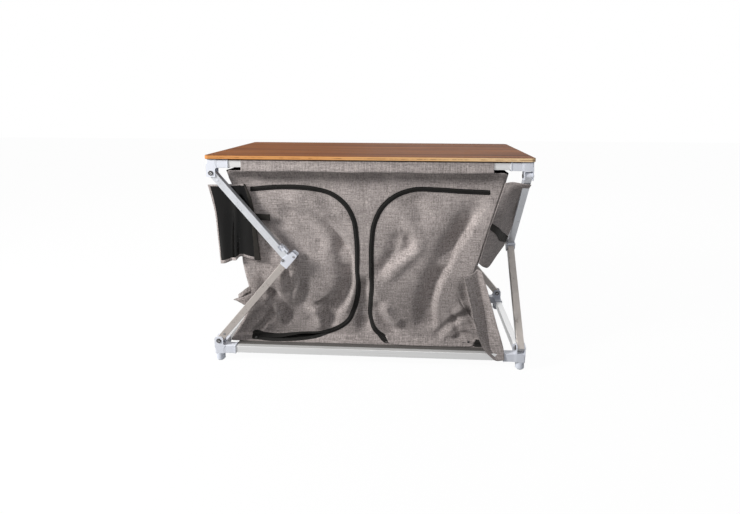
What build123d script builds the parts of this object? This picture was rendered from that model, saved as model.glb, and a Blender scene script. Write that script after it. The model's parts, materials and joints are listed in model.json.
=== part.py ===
"""Quick-fold camping cupboard, standing half folded. All sizes are in millimetres.

The origin lies on the floor midway between the feet. X runs along the cupboard from
left to right, Y from the front to the back and Z up. Each leg folds in the upright
plane through its two pins: front left towards the right, front right towards the
back, and so on round the frame, so that no elbow meets another.
"""

import os
from math import acos, atan2, cos, degrees, hypot, pi, radians, sin, sqrt, tan

from build123d import *

os.makedirs("parts", exist_ok=True)

# Worktop
board_length = 1000
board_width = 500
board_thickness = 12
board_corner_radius = 15
board_edge_radius = 2
board_overhang = 5

# Square tube of the frames and the legs
tube = 22
tube_wall = 1.2
tube_corner = 1.5

# Moulded corner brackets with their forks
bracket_side = 28
bracket_corner = 4
sleeve_side = 26
sleeve_length = 40
sleeve_lip = 3.5
sleeve_shoulder = 7
sleeve_corner = 1.5
rail_stop = 2
rail_fit = 0.1
ear_wall = 2.6
ear_reach = 13
base_ear_corner = 8
top_ear_corner = 3
ear_gusset = 6
pin_height = 15

# Feet
foot_height = 26
foot_diameter = 28
foot_chamfer = 4.5
foot_spigot = 12
foot_spigot_length = 9
foot_fit = 0.1

# Frame pins, elbow pins and rivets
pin_diameter = 8
pin_head_diameter = 15
pin_head = 1.2
pin_bore = 3.5
pin_fit = 0.1
rivet_diameter = 4
rivet_head_diameter = 7
rivet_head = 1
rivet_place = 29
screw_diameter = 4
screw_head_diameter = 8
screw_bite = 9

# Folding legs
leg_span = 348
elbow_offset = 12
leg_lean = 40.35
leg_heel = 6
heel_radius = 12
plug_fit = 0.1
plug_length = 38

# Elbow hinge
knuckle_radius = 5
knuckle_gap = 0.4
elbow_pin_diameter = 6
elbow_pin_head_diameter = 10
fork_base = 6
fork_collar = 14
fork_back = 3
cheek_gap = 0.4
cheek_wall = 2.6
cheek_reach = 42
cheek_corner = 6
cheek_edge = 5
stud_diameter = 5
stud_along = 31
stud_across = 18.5
stud_reach = 3

# Elbow latch, a thumb slide in a slot of the upper tube
latch_travel = 8
latch_gap = 0.3
latch_width = 16
latch_height = 6
latch_start = 9
latch_length = 26
latch_flange = 6
latch_flange_height = 2.6
latch_neck = 6
latch_foot = 12
latch_foot_height = 2.8
latch_rib = 1.2
latch_ribs = 4

# Cabinet of cloth
cloth = 1.5
cloth_gap = 0.3
floor_panel_thickness = 3
floor_panel_gap = 2
floor_panel_lap = 6
front_gap = 3
zip_width = 14
zip_stand = 0.5
zip_margin = 20
door_edge = 16
door_low = 8
door_high = 68
door_radius_high = 120
door_radius_low = 95
door_reach = 70
partition_place = -15
shelf_thickness = 3
shelf_height = 330
shelf_gap = 0.4
shelf_setback = 30
tunnel_left = 35
tunnel_right = 48
tunnel_slant = 13
strap_width = 22

# The slack cloth at rising shares of its height: how far the left and right sides are
# drawn in, how far the front comes forward, the depth of the folds, the sag of the side
# walls, and where the three free folds of the front lie, as shares of its half length
cloth_levels = [
    (0.00, 19, 10, 0, 2, 3, (-0.35, 0.14, 0.42)),
    (0.25, 64, 73, 0, 9, 18, (-0.35, 0.09, 0.55)),
    (0.46, 23, 80, 0, 11, 24, (-0.36, 0.14, 0.66)),
    (0.65, 27, 48, 0, 12, 18, (-0.45, 0.31, 0.75)),
    (0.84, 32, 17, 0, 8, 10, (-0.70, 0.21, 0.87)),
    (0.95, -5, 3, 7, 4, 5, (-0.76, 0.18, 0.90)),
    (1.00, 3, 6, 26, 2, 2, (-0.78, 0.16, 0.91)),
]

# The loose flaps at rows down their height: share of the cabinet's height, left edge,
# fold and right edge out from the cabinet's half length, and how far they stand forward
flap_bulge = 1
left_upper_flap = [(0.908, 74, 2, -29, 2.5), (0.731, 61, -13, -58, 0), (0.471, 52, -17, -85, 0)]
left_lower_flap = [(0.318, 15, -5, -25, 0), (0.261, 16, -20, -73, -2), (0.214, 5, -20, -50, 0)]
right_lower_flap = [(0.450, -78, -69, -60, 0), (0.235, -57, -46, -35, 1), (0.062, -37, -25, -13, 18)]
flap_foot = 27
flap_foot_width = 27
low_flap_back = 6.6

# The flap that wraps over the front right leg: how far its top lies below the pin, the share
# of the height where it ends on the leg, its two edges on the cabinet (out at the top, out at
# the bottom, below the end on the leg) and how much it narrows down the leg
wrap_top = 25
wrap_low = 0.573
wrap_edges = [(3, -70, 50), (21, -21, 80)]
wrap_forward = 4.5
wrap_back = 0.65
wrap_narrowing = (4, 2)
left_strap_share = 0.71
left_strap_ends = (33, 117)
right_strap_shares = (0.71, 0.61)
right_strap_start = 34
right_strap_end = 6
right_strap_lift = 0.5

# Places that follow from the sizes above
link = hypot(leg_span, elbow_offset)
link_lean = leg_lean - degrees(atan2(elbow_offset, leg_span))
pin_gap = 2 * link * cos(radians(link_lean))
frame_length = board_length - 2 * board_overhang
frame_width = board_width - 2 * board_overhang
pin_x = (frame_length - bracket_side) / 2
pin_y = (frame_width - bracket_side) / 2
base_rail_z = foot_height + bracket_side / 2
base_pin_z = foot_height + bracket_side + pin_height
top_pin_z = base_pin_z + pin_gap
board_bottom = top_pin_z + pin_height + bracket_side
top_rail_z = board_bottom - bracket_side / 2
rail_bore = tube + 2 * rail_fit
inner = tube - 2 * tube_wall
plug = inner - 2 * plug_fit
fork_inside = tube / 2 + cheek_gap
fork_outside = fork_inside + cheek_wall
cloth_half = frame_length / 2 - bracket_side - sleeve_length - floor_panel_gap
cloth_front = pin_y - fork_outside - pin_head - front_gap
floor_top = base_rail_z + tube / 2 + floor_panel_thickness
cloth_low = floor_top + cloth_gap
cloth_high = top_rail_z - tube / 2 - cloth - cloth_gap
leg_slope = tan(radians(leg_lean))

corners = {
    "fl": (-pin_x, -pin_y, 0),
    "fr": (pin_x, -pin_y, 90),
    "rr": (pin_x, pin_y, 180),
    "rl": (-pin_x, pin_y, 270),
}

# Sketch planes in the leg's own frame: Z along the leg, X to the convex side of the bend
pin_plane = Plane(origin=(0, 0, 0), x_dir=(0, 0, 1), z_dir=(0, 1, 0))
lower_elbow = Plane(origin=(-elbow_offset, 0, leg_span), x_dir=(0, 0, 1), z_dir=(0, 1, 0))
upper_elbow = Plane(origin=(-elbow_offset, 0, leg_span), x_dir=(0, 0, -1), z_dir=(0, -1, 0))
tube_near = elbow_offset - tube / 2
tube_far = elbow_offset + tube / 2


def save(piece, name):
    """Label a finished piece and write it."""
    piece.label = name
    export_step(piece, f"parts/{name}.step")


def place(master, name, where):
    """Write a copy of a master piece that stands at one place."""
    with BuildPart(where) as piece:
        add(master)
    save(piece.part, name)


def block(x0, x1, y0, y1):
    """A rectangle of the current sketch, given by its sides."""
    with Locations(((x0 + x1) / 2, (y0 + y1) / 2)):
        Rectangle(x1 - x0, y1 - y0)


def height_at(share):
    """Height of a share of the cabinet's cloth."""
    return cloth_low + share * (cloth_high - cloth_low)


def make_worktop():
    """The board, with softened edges and pilot holes for the bracket screws."""
    with BuildPart() as board:
        with BuildSketch(Plane.XY.offset(board_bottom)):
            RectangleRounded(board_length, board_width, board_corner_radius)
        extrude(amount=board_thickness)
        fillet(board.faces().sort_by(Axis.Z)[-1].edges(), board_edge_radius)
        fillet(board.faces().sort_by(Axis.Z)[0].edges(), board_edge_radius)
        with BuildSketch(Plane.XY.offset(board_bottom)):
            with Locations(*[(x, y) for x, y, turn in corners.values()]):
                Circle(screw_diameter / 2)
        extrude(amount=screw_bite, mode=Mode.SUBTRACT)
    save(board.part, "worktop")


def make_board_screws():
    """Countersunk screws up through the bracket columns into the board."""
    cone = (screw_head_diameter - screw_diameter) / 2
    with BuildPart() as screws:
        with BuildSketch(Plane.XY.offset(board_bottom - bracket_side)):
            with Locations(*[(x, y) for x, y, turn in corners.values()]):
                Circle(screw_diameter / 2)
        extrude(amount=bracket_side + screw_bite)
        for x, y, turn in corners.values():
            with Locations((x, y, board_bottom - bracket_side + cone / 2)):
                Cone(screw_head_diameter / 2, screw_diameter / 2, cone)
    save(screws.part, "board_screws")


def make_rail(name, centre, along, length):
    """One square tube of a frame, from its centre and its direction."""
    with BuildPart() as rail:
        with BuildSketch(Plane(origin=centre, x_dir=(0, 0, 1), z_dir=along)):
            RectangleRounded(tube, tube, tube_corner)
            Rectangle(inner, inner, mode=Mode.SUBTRACT)
        extrude(amount=length / 2, both=True)
    save(rail.part, name)


def make_rails():
    """The eight frame tubes, stopped inside the bracket sleeves."""
    long_rail = frame_length - 2 * (bracket_side + rail_stop)
    short_rail = frame_width - 2 * (bracket_side + rail_stop)
    for level, z in (("base", base_rail_z), ("top", top_rail_z)):
        make_rail(f"rail_{level}_front", (0, -pin_y, z), (1, 0, 0), long_rail)
        make_rail(f"rail_{level}_rear", (0, pin_y, z), (1, 0, 0), long_rail)
        make_rail(f"rail_{level}_left", (-pin_x, 0, z), (0, 1, 0), short_rail)
        make_rail(f"rail_{level}_right", (pin_x, 0, z), (0, 1, 0), short_rail)


def bracket_master(ear_corner):
    """Moulded corner: a column, two sleeves for the rails and the two ears of a fork."""
    half = bracket_side / 2
    along_x = Plane.YZ
    along_y = Plane(origin=(0, 0, 0), x_dir=(-1, 0, 0), z_dir=(0, 1, 0))
    sleeve_top = half + sleeve_side / 2
    with BuildPart() as bracket:
        with BuildSketch() as column:
            Rectangle(bracket_side, bracket_side)
            outer = column.vertices().sort_by(Axis((0, 0, 0), (1, 1, 0)))[0]
            fillet(outer, bracket_corner)
        extrude(amount=bracket_side)
        for side in (along_x, along_y):
            with BuildSketch(side.offset(half)):
                with Locations((0, half)):
                    Rectangle(bracket_side - 2 * rail_fit, bracket_side - 2 * rail_fit)
            with BuildSketch(side.offset(half + sleeve_shoulder)):
                with Locations((0, half)):
                    Rectangle(sleeve_side, sleeve_side)
            loft(ruled=True)
            with BuildSketch(side.offset(half + sleeve_shoulder)):
                with Locations((0, half)):
                    RectangleRounded(sleeve_side, sleeve_side, sleeve_corner)
            extrude(amount=sleeve_length - sleeve_shoulder)
            with BuildSketch(side.offset(half + sleeve_length - sleeve_lip)):
                with Locations((0, half)):
                    RectangleRounded(bracket_side, bracket_side, sleeve_corner)
            extrude(amount=sleeve_lip)
        for start in (half - ear_wall, -half):
            with BuildSketch(Plane.XZ.offset(start)) as ear:
                block(-half, half, half, bracket_side + pin_height + ear_reach)
                fillet(ear.vertices().group_by(Axis.Z)[-1], ear_corner)
                with BuildLine():
                    high = (half, sleeve_top + ear_gusset)
                    low = (half + ear_gusset, sleeve_top)
                    bend = ear_gusset * (1 - sqrt(0.5))
                    ThreePointArc(high, (half + bend, sleeve_top + bend), low)
                    Polyline(low, (half, half), high)
                make_face()
            extrude(amount=ear_wall)
        for side in (along_x, along_y):
            with BuildSketch(side.offset(half + rail_stop)):
                with Locations((0, half)):
                    Rectangle(rail_bore, rail_bore)
            extrude(amount=sleeve_length, mode=Mode.SUBTRACT)
        with BuildSketch(Plane.XZ):
            with Locations((0, bracket_side + pin_height)):
                Circle(pin_diameter / 2)
        extrude(amount=half, both=True, mode=Mode.SUBTRACT)
    return bracket.part


def make_brackets():
    """Base corners with a socket for the foot, and top corners turned over, with screw holes."""
    cone = (screw_head_diameter - screw_diameter) / 2
    with BuildPart() as base:
        add(bracket_master(base_ear_corner))
        with BuildSketch():
            Circle(foot_spigot / 2 + foot_fit)
        extrude(amount=foot_spigot_length, mode=Mode.SUBTRACT)
    with BuildPart() as top:
        add(mirror(bracket_master(top_ear_corner), about=Plane.XY))
        with BuildSketch(Plane.XY.offset(-bracket_side)):
            Circle(screw_diameter / 2)
        extrude(amount=bracket_side, mode=Mode.SUBTRACT)
        with Locations((0, 0, cone / 2 - bracket_side)):
            Cone(screw_head_diameter / 2, screw_diameter / 2, cone, mode=Mode.SUBTRACT)
    for corner, (x, y, turn) in corners.items():
        place(base.part, f"bracket_base_{corner}", Location((x, y, foot_height), (0, 0, turn)))
        place(top.part, f"bracket_top_{corner}", Location((x, y, board_bottom), (0, 0, turn)))


def make_feet():
    """Four round feet, each with a spigot that sits in its bracket."""
    with BuildPart() as feet:
        for x, y, turn in corners.values():
            with BuildSketch():
                with Locations((x, y)):
                    Circle(foot_diameter / 2 - foot_chamfer)
            with BuildSketch(Plane.XY.offset(foot_chamfer)):
                with Locations((x, y)):
                    Circle(foot_diameter / 2)
            loft()
            with BuildSketch(Plane.XY.offset(foot_chamfer)):
                with Locations((x, y)):
                    Circle(foot_diameter / 2)
            extrude(amount=foot_height - foot_chamfer)
            with BuildSketch(Plane.XY.offset(foot_height)):
                with Locations((x, y)):
                    Circle(foot_spigot / 2)
            extrude(amount=foot_spigot_length)
    save(feet.part, "feet")


def pin_master(radius, half_length, head_radius, bore_radius):
    """A pin along Y with a flat head at each end, bored through when it is a hollow rivet."""
    with BuildPart() as pin:
        with BuildSketch(Plane.XZ):
            Circle(radius)
        extrude(amount=half_length, both=True)
        for start in (half_length, -half_length - pin_head):
            with BuildSketch(Plane.XZ.offset(start)):
                Circle(head_radius)
            extrude(amount=pin_head)
        if bore_radius > 0:
            with BuildSketch(Plane.XZ):
                Circle(bore_radius)
            extrude(amount=half_length + pin_head, both=True, mode=Mode.SUBTRACT)
    return pin.part


def make_frame_pins():
    """The hollow rivets of the eight forks, one group for each frame."""
    master = pin_master(
        pin_diameter / 2, bracket_side / 2, pin_head_diameter / 2, pin_bore / 2
    )
    for level, z in (("base", base_pin_z), ("top", top_pin_z)):
        with BuildPart() as pins:
            with Locations(*[Location((x, y, z), (0, 0, turn)) for x, y, turn in corners.values()]):
                add(master)
        save(pins.part, f"{level}_pivot_pins")


def leg_tube(elbow_set):
    """A leg tube from its heel to the elbow, with the holes of its heel end."""
    with BuildPart() as leg:
        with BuildSketch(Plane.XY.offset(-leg_heel)):
            RectangleRounded(tube, tube, tube_corner)
            Rectangle(inner, inner, mode=Mode.SUBTRACT)
        extrude(amount=leg_heel + leg_span - elbow_set)
        with BuildSketch(pin_plane):
            Circle(pin_diameter / 2 + pin_fit)
            with Locations((rivet_place, 0)):
                Circle(rivet_diameter / 2)
        extrude(amount=tube, both=True, mode=Mode.SUBTRACT)
    return leg.part


def heel_plug():
    """The moulded plug with a rounded heel, and the rivet that holds it in the tube."""
    with BuildPart() as heel:
        with BuildSketch(pin_plane):
            block(-leg_heel, plug_length, -plug / 2, plug / 2)
        extrude(amount=plug / 2, both=True)
        with BuildSketch(pin_plane):
            Circle(heel_radius)
            with Locations((heel_radius - leg_heel, 0)):
                Rectangle(2 * heel_radius, 2 * heel_radius, mode=Mode.SUBTRACT)
        extrude(amount=tube / 2, both=True)
        with BuildSketch(pin_plane):
            Circle(pin_diameter / 2 + pin_fit)
            with Locations((rivet_place, 0)):
                Circle(rivet_diameter / 2)
        extrude(amount=tube, both=True, mode=Mode.SUBTRACT)
    with BuildPart() as rivet:
        with BuildSketch(pin_plane):
            with Locations((rivet_place, 0)):
                Circle(rivet_diameter / 2)
        extrude(amount=tube / 2, both=True)
        for start in (tube / 2, -tube / 2 - rivet_head):
            with BuildSketch(pin_plane.offset(start)):
                with Locations((rivet_place, 0)):
                    Circle(rivet_head_diameter / 2)
            extrude(amount=rivet_head)
    return [heel.part, rivet.part]


def outer_side(first, first_radius, second, second_radius):
    """Direction to the common outer line on the right of two circles, as an angle."""
    across = Vector(*second) - Vector(*first)
    return atan2(across.Y, across.X) - acos((first_radius - second_radius) / across.length)


def on_circle(centre, radius, angle):
    """The point of a circle at an angle."""
    return (centre[0] + radius * cos(angle), centre[1] + radius * sin(angle))


def elbow_fork():
    """Collar over the lower tube, plug inside it and two cheeks that reach past the pin."""
    with BuildPart() as fork:
        with BuildSketch(lower_elbow):
            block(-fork_collar, 0, tube_near, tube_far + fork_back)
        extrude(amount=fork_outside, both=True)
        with BuildSketch(lower_elbow):
            block(-fork_collar, -fork_base, 0, tube_far)
        extrude(amount=tube / 2, both=True, mode=Mode.SUBTRACT)
        with BuildSketch(lower_elbow):
            block(-fork_base - plug_length, -fork_base, elbow_offset - plug / 2, elbow_offset + plug / 2)
        extrude(amount=plug / 2, both=True)
        heel = (-fork_collar, tube_near)
        pin = (0, 0)
        low = (cheek_reach - cheek_corner, cheek_edge + cheek_corner)
        high = (cheek_reach - cheek_corner, tube_far + fork_back - cheek_corner)
        entry = outer_side(heel, 0, pin, knuckle_radius)
        leave = outer_side(pin, knuckle_radius, low, cheek_corner)
        pin_rim = [on_circle(pin, knuckle_radius, a) for a in (entry, (entry + leave) / 2, leave)]
        low_rim = [on_circle(low, cheek_corner, a) for a in (leave, leave / 2, 0)]
        high_rim = [on_circle(high, cheek_corner, a) for a in (0, pi / 4, pi / 2)]
        for start in (fork_inside, -fork_outside):
            with BuildSketch(lower_elbow.offset(start)):
                with BuildLine():
                    ThreePointArc(*pin_rim)
                    Line(pin_rim[-1], low_rim[0])
                    ThreePointArc(*low_rim)
                    Line(low_rim[-1], high_rim[0])
                    ThreePointArc(*high_rim)
                    Polyline(high_rim[-1], (-fork_collar, tube_far + fork_back), heel, pin_rim[0])
                make_face()
            extrude(amount=cheek_wall)
        with BuildSketch(lower_elbow):
            Circle(knuckle_radius + knuckle_gap)
        extrude(amount=fork_inside, both=True, mode=Mode.SUBTRACT)
        with BuildSketch(lower_elbow):
            Circle(elbow_pin_diameter / 2)
            with Locations((stud_along, stud_across)):
                Circle(stud_diameter / 2)
        extrude(amount=fork_outside, both=True, mode=Mode.SUBTRACT)
    return fork.part


def elbow_pins():
    """The elbow pin, and the two catch studs that point inwards from the cheeks."""
    with BuildPart() as pin:
        with BuildSketch(lower_elbow):
            Circle(elbow_pin_diameter / 2)
        extrude(amount=fork_outside, both=True)
        for start in (fork_outside, -fork_outside - pin_head):
            with BuildSketch(lower_elbow.offset(start)):
                Circle(elbow_pin_head_diameter / 2)
            extrude(amount=pin_head)
    studs = []
    for side in (1, -1):
        with BuildPart() as stud:
            with BuildSketch(lower_elbow.offset(side * (fork_inside - stud_reach))):
                with Locations((stud_along, stud_across)):
                    Circle(stud_diameter / 2)
            extrude(amount=side * (stud_reach + cheek_wall))
            with BuildSketch(lower_elbow.offset(side * fork_outside)):
                with Locations((stud_along, stud_across)):
                    Circle(rivet_head_diameter / 2)
            extrude(amount=side * rivet_head)
        studs.append(stud.part)
    return [pin.part, *studs]


def latch_slot():
    """The space of the latch's slot and of the two corner notches for the studs."""
    slot_start = latch_start + latch_neck - latch_travel - 2 * latch_gap
    slot_end = latch_start + latch_length - latch_neck + 2 * latch_gap
    slot_low = tube_far - tube_wall - latch_foot_height - 2 * latch_gap
    notch_low = stud_across - stud_diameter / 2 - 1
    notch_start = stud_along - stud_diameter / 2 - latch_neck
    notch_end = latch_start + latch_length + latch_flange + 1
    with BuildPart() as space:
        with BuildSketch(upper_elbow):
            block(slot_start, slot_end, slot_low, tube_far + 1)
        extrude(amount=latch_neck / 2 + latch_gap, both=True)
        for start in (latch_width / 2, -latch_width / 2 - tube / 2):
            with BuildSketch(upper_elbow.offset(start)):
                block(notch_start, notch_end, notch_low, tube_far + 1)
            extrude(amount=tube / 2)
    return space.part


def upper_tube():
    """The upper leg tube, slotted for the latch and notched at two corners for the studs."""
    with BuildPart() as leg:
        add(leg_tube(fork_base))
        add(latch_slot(), mode=Mode.SUBTRACT)
    return leg.part


def elbow_tongue():
    """Plug of the upper tube with the knuckle that turns between the cheeks."""
    foot_low = tube_far - tube_wall - latch_foot_height - 2 * latch_gap
    with BuildPart() as tongue:
        with BuildSketch(upper_elbow):
            block(fork_base, fork_base + plug_length, elbow_offset - plug / 2, elbow_offset + plug / 2)
        extrude(amount=plug / 2, both=True)
        with BuildSketch(upper_elbow):
            block(knuckle_gap, fork_base, tube_near, tube_far)
            Circle(knuckle_radius)
        extrude(amount=tube / 2, both=True)
        add(latch_slot(), mode=Mode.SUBTRACT)
        with BuildSketch(upper_elbow):
            slot_start = latch_start + latch_neck - latch_travel - 2 * latch_gap
            slot_end = latch_start + latch_length - latch_neck + 2 * latch_gap
            block(slot_start, slot_end, foot_low, tube_far - tube_wall + plug_fit)
        extrude(amount=latch_foot / 2 + latch_gap, both=True, mode=Mode.SUBTRACT)
        with BuildSketch(upper_elbow):
            Circle(elbow_pin_diameter / 2 + pin_fit)
        extrude(amount=tube, both=True, mode=Mode.SUBTRACT)
    return tongue.part


def elbow_latch():
    """Ribbed thumb slide with a flange, two lugs that lock over the studs, and its T foot."""
    face = tube_far + latch_gap
    end = latch_start + latch_length
    lug_low = stud_across + stud_diameter / 2 + latch_gap
    lug_inside = latch_width / 2 + knuckle_gap
    lug_outside = tube / 2 - latch_gap
    neck_start = latch_start + latch_neck - latch_gap
    foot_high = tube_far - tube_wall - latch_gap
    with BuildPart() as latch:
        with BuildSketch(upper_elbow) as thumb:
            block(latch_start, end, face, face + latch_height)
            fillet(thumb.vertices().sort_by(Axis.X)[-2:], 2)
        extrude(amount=latch_width / 2, both=True)
        with BuildSketch(upper_elbow):
            pitch = latch_length / (latch_ribs + 1)
            with Locations((latch_start + latch_length / 2, face + latch_height)):
                with GridLocations(pitch, 1, latch_ribs, 1):
                    Rectangle(latch_rib, 2 * latch_rib)
        extrude(amount=latch_width / 2, both=True)
        with BuildSketch(upper_elbow):
            block(end - 1, end + latch_flange, face, face + latch_flange_height)
        extrude(amount=lug_outside, both=True)
        for start in (lug_inside, -lug_outside):
            with BuildSketch(upper_elbow.offset(start)):
                block(end, end + latch_flange, lug_low, face + 1)
            extrude(amount=lug_outside - lug_inside)
        with BuildSketch(upper_elbow):
            block(neck_start, end - latch_neck, foot_high - latch_foot_height / 2, face + 1)
        extrude(amount=latch_neck / 2, both=True)
        with BuildSketch(upper_elbow):
            block(neck_start, end - latch_neck, foot_high - latch_foot_height, foot_high)
        extrude(amount=latch_foot / 2, both=True)
    return latch.part


def make_legs():
    """Four legs of two halves: the lower ones lean up and in, the upper ones back out."""
    lean = radians(leg_lean)
    rise = Location((0, 0, 0), (0, leg_lean, 0))
    drop_plane = Plane(origin=(0, 0, 0), x_dir=(cos(lean), 0, sin(lean)), z_dir=(sin(lean), 0, -cos(lean)))
    lower = leg_tube(fork_base)
    fork = elbow_fork()
    upper = upper_tube()
    tongue = elbow_tongue()
    latch = elbow_latch()
    heel = heel_plug()
    pins = elbow_pins()
    for corner, (x, y, turn) in corners.items():
        foot_end = Location((x, y, base_pin_z), (0, 0, turn)) * rise
        top_end = Location((x, y, top_pin_z), (0, 0, turn)) * drop_plane.location
        place(lower, f"lower_tube_{corner}", foot_end)
        place(fork, f"elbow_fork_{corner}", foot_end)
        place(heel + pins, f"lower_fittings_{corner}", foot_end)
        place(upper, f"upper_tube_{corner}", top_end)
        place([tongue, *heel], f"upper_plugs_{corner}", top_end)
        place(latch, f"elbow_latch_{corner}", top_end)


def make_floor_panel():
    """The stiff bottom of the cabinet, lying on the front and rear rails."""
    half_width = pin_y - tube / 2 + floor_panel_lap
    with BuildPart() as panel:
        with BuildSketch(Plane.XY.offset(floor_top - floor_panel_thickness)):
            Rectangle(2 * cloth_half, 2 * half_width)
        extrude(amount=floor_panel_thickness)
    save(panel.part, "floor_panel")


def cloth_outline(level, inset):
    """One closed level of the cabinet wall: folded front, sagging sides and rear."""
    share, draw_left, draw_right, forward, depth, sag, folds = level
    left = -cloth_half + draw_left + inset
    right = cloth_half - draw_right - inset
    front = -cloth_front - forward + inset
    rear = cloth_front + forward - inset
    first, second, third = [fold * cloth_half for fold in folds]
    valleys = [left, first, partition_place, second, third, right]
    with BuildSketch(Plane.XY.offset(height_at(share))) as outline:
        with BuildLine():
            for start, end in zip(valleys, valleys[1:]):
                ThreePointArc((start, front + depth), ((start + end) / 2, front), (end, front + depth))
            ThreePointArc((right, front + depth), (right - sag, 0), (right, rear - depth))
            ThreePointArc((right, rear - depth), (right / 2, rear), (partition_place, rear - depth))
            ThreePointArc((partition_place, rear - depth), (left / 2, rear), (left, rear - depth))
            ThreePointArc((left, rear - depth), (left + sag, 0), (left, front + depth))
        make_face()
    return outline.sketch


def cloth_body(inset):
    """The space inside the slack cabinet wall, drawn in by the inset."""
    return loft([cloth_outline(level, inset) for level in cloth_levels], ruled=True)


def door_region(side, trim):
    """A D-shaped region of the front, cut off near the corner, trimmed inside the zip."""
    low = cloth_low + door_low + trim
    high = cloth_high - door_high - trim
    inside = partition_place + side * (zip_margin + trim)
    beyond = side * board_length / 2
    top_radius = door_radius_high - trim
    low_radius = door_radius_low - trim
    top_start = (inside + side * top_radius, high)
    top_middle = (inside + side * top_radius * (1 - sqrt(0.5)), high - top_radius * (1 - sqrt(0.5)))
    low_end = (inside + side * low_radius, low)
    low_middle = (inside + side * low_radius * (1 - sqrt(0.5)), low + low_radius * (1 - sqrt(0.5)))
    edge = []
    for share, draw_left, draw_right, forward, depth, sag, folds in cloth_levels[:-1]:
        draw = draw_right if side > 0 else draw_left
        edge.append((side * (cloth_half - draw - door_edge), height_at(share)))
    with BuildPart() as region:
        with BuildSketch(Plane.XZ.offset(cloth_front - 1.5 * zip_margin)):
            with BuildLine():
                Polyline(low_end, (beyond, low), (beyond, high), top_start)
                ThreePointArc(top_start, top_middle, (inside, high - top_radius))
                Line((inside, high - top_radius), (inside, low + low_radius))
                ThreePointArc((inside, low + low_radius), low_middle, low_end)
            make_face()
            with BuildLine():
                Polyline((0, edge[0][1]), *edge, (0, edge[-1][1]), (0, edge[0][1]))
            make_face(mode=Mode.INTERSECT)
        extrude(amount=door_reach)
    return region.part


def make_cabinet():
    """The cloth wall with its partition, the doors cut out of it and the zips round them."""
    outside = cloth_body(0)
    inside = cloth_body(cloth)
    raised = cloth_body(-zip_stand)
    with BuildPart() as partition:
        with BuildSketch(Plane.XY.offset(cloth_low)):
            with Locations((partition_place, 0)):
                Rectangle(cloth, 3 * cloth_front)
        extrude(amount=cloth_high - cloth_low)
        add(inside, mode=Mode.INTERSECT)
    with BuildPart() as cabinet:
        add(outside)
        add(inside, mode=Mode.SUBTRACT)
        add(partition.part)
        for side in (-1, 1):
            add(door_region(side, 0), mode=Mode.SUBTRACT)
    save(cabinet.part, "cabinet")
    for side, name in ((-1, "left"), (1, "right")):
        with BuildPart() as door:
            add(outside)
            add(inside, mode=Mode.SUBTRACT)
            add(door_region(side, zip_width), mode=Mode.INTERSECT)
        save(door.part, f"door_{name}")
        with BuildPart() as tape:
            add(raised)
            add(inside, mode=Mode.SUBTRACT)
            add(door_region(side, 0), mode=Mode.INTERSECT)
            add(door_region(side, zip_width), mode=Mode.SUBTRACT)
        save(tape.part, f"zip_{name}")


def make_shelves():
    """Two stiff shelves, clear of the cloth walls and of the partition."""
    room = cloth_body(cloth + shelf_gap)
    for side, name in ((-1, "left"), (1, "right")):
        with BuildPart() as shelf:
            with BuildSketch(Plane.XY.offset(shelf_height)):
                inner_edge = partition_place + side * (cloth / 2 + shelf_gap)
                outer_edge = side * board_length / 2
                near, far = sorted((inner_edge, outer_edge))
                block(near, far, shelf_setback - cloth_front, cloth_front)
            extrude(amount=shelf_thickness)
            add(room, mode=Mode.INTERSECT)
        save(shelf.part, f"shelf_{name}")


def make_tunnels():
    """The cloth tunnels round the front and rear top rails, slanted at their left end."""
    half = tube / 2 + cloth
    left = -cloth_half + tunnel_left
    right = cloth_half - tunnel_right
    with BuildPart() as tunnels:
        for y in (-pin_y, pin_y):
            with BuildSketch(Plane(origin=(0, y + half, top_rail_z), x_dir=(1, 0, 0), z_dir=(0, -1, 0))):
                with BuildLine():
                    slant_end = (left + tunnel_slant, -half)
                    Polyline((left, half), slant_end, (right, -half), (right, half), (left, half))
                make_face()
            extrude(amount=2 * half)
            with BuildSketch(Plane(origin=(left, y, top_rail_z), x_dir=(0, 1, 0), z_dir=(1, 0, 0))):
                Rectangle(tube, tube)
            extrude(amount=right - left, mode=Mode.SUBTRACT)
    save(tunnels.part, "rail_sleeves")


def hanging_sheet(name, rows):
    """A hanging sheet of cloth through rows of height, left, fold, right and front face."""
    with BuildPart() as sheet:
        for z, left, fold, right, y in rows:
            back = y + cloth
            with BuildSketch(Plane.XY.offset(z)):
                with BuildLine():
                    for start, end in ((left, fold), (fold, right)):
                        ThreePointArc((start, y), ((start + end) / 2, y - flap_bulge), (end, y))
                    Line((right, y), (right, back))
                    for start, end in ((right, fold), (fold, left)):
                        ThreePointArc((start, back), ((start + end) / 2, back - flap_bulge), (end, back))
                    Line((left, back), (left, y))
                make_face()
        loft(ruled=True)
    save(sheet.part, name)


def flap_rows(table, side, face):
    """Rows of a flap in millimetres, from its table, on the left or the right of the cabinet."""
    rows = []
    for share, left, fold, right, forward in table:
        left, fold, right = [side * (cloth_half + out) for out in (left, fold, right)]
        rows.append((height_at(share), left, fold, right, face - forward))
    return rows


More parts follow.
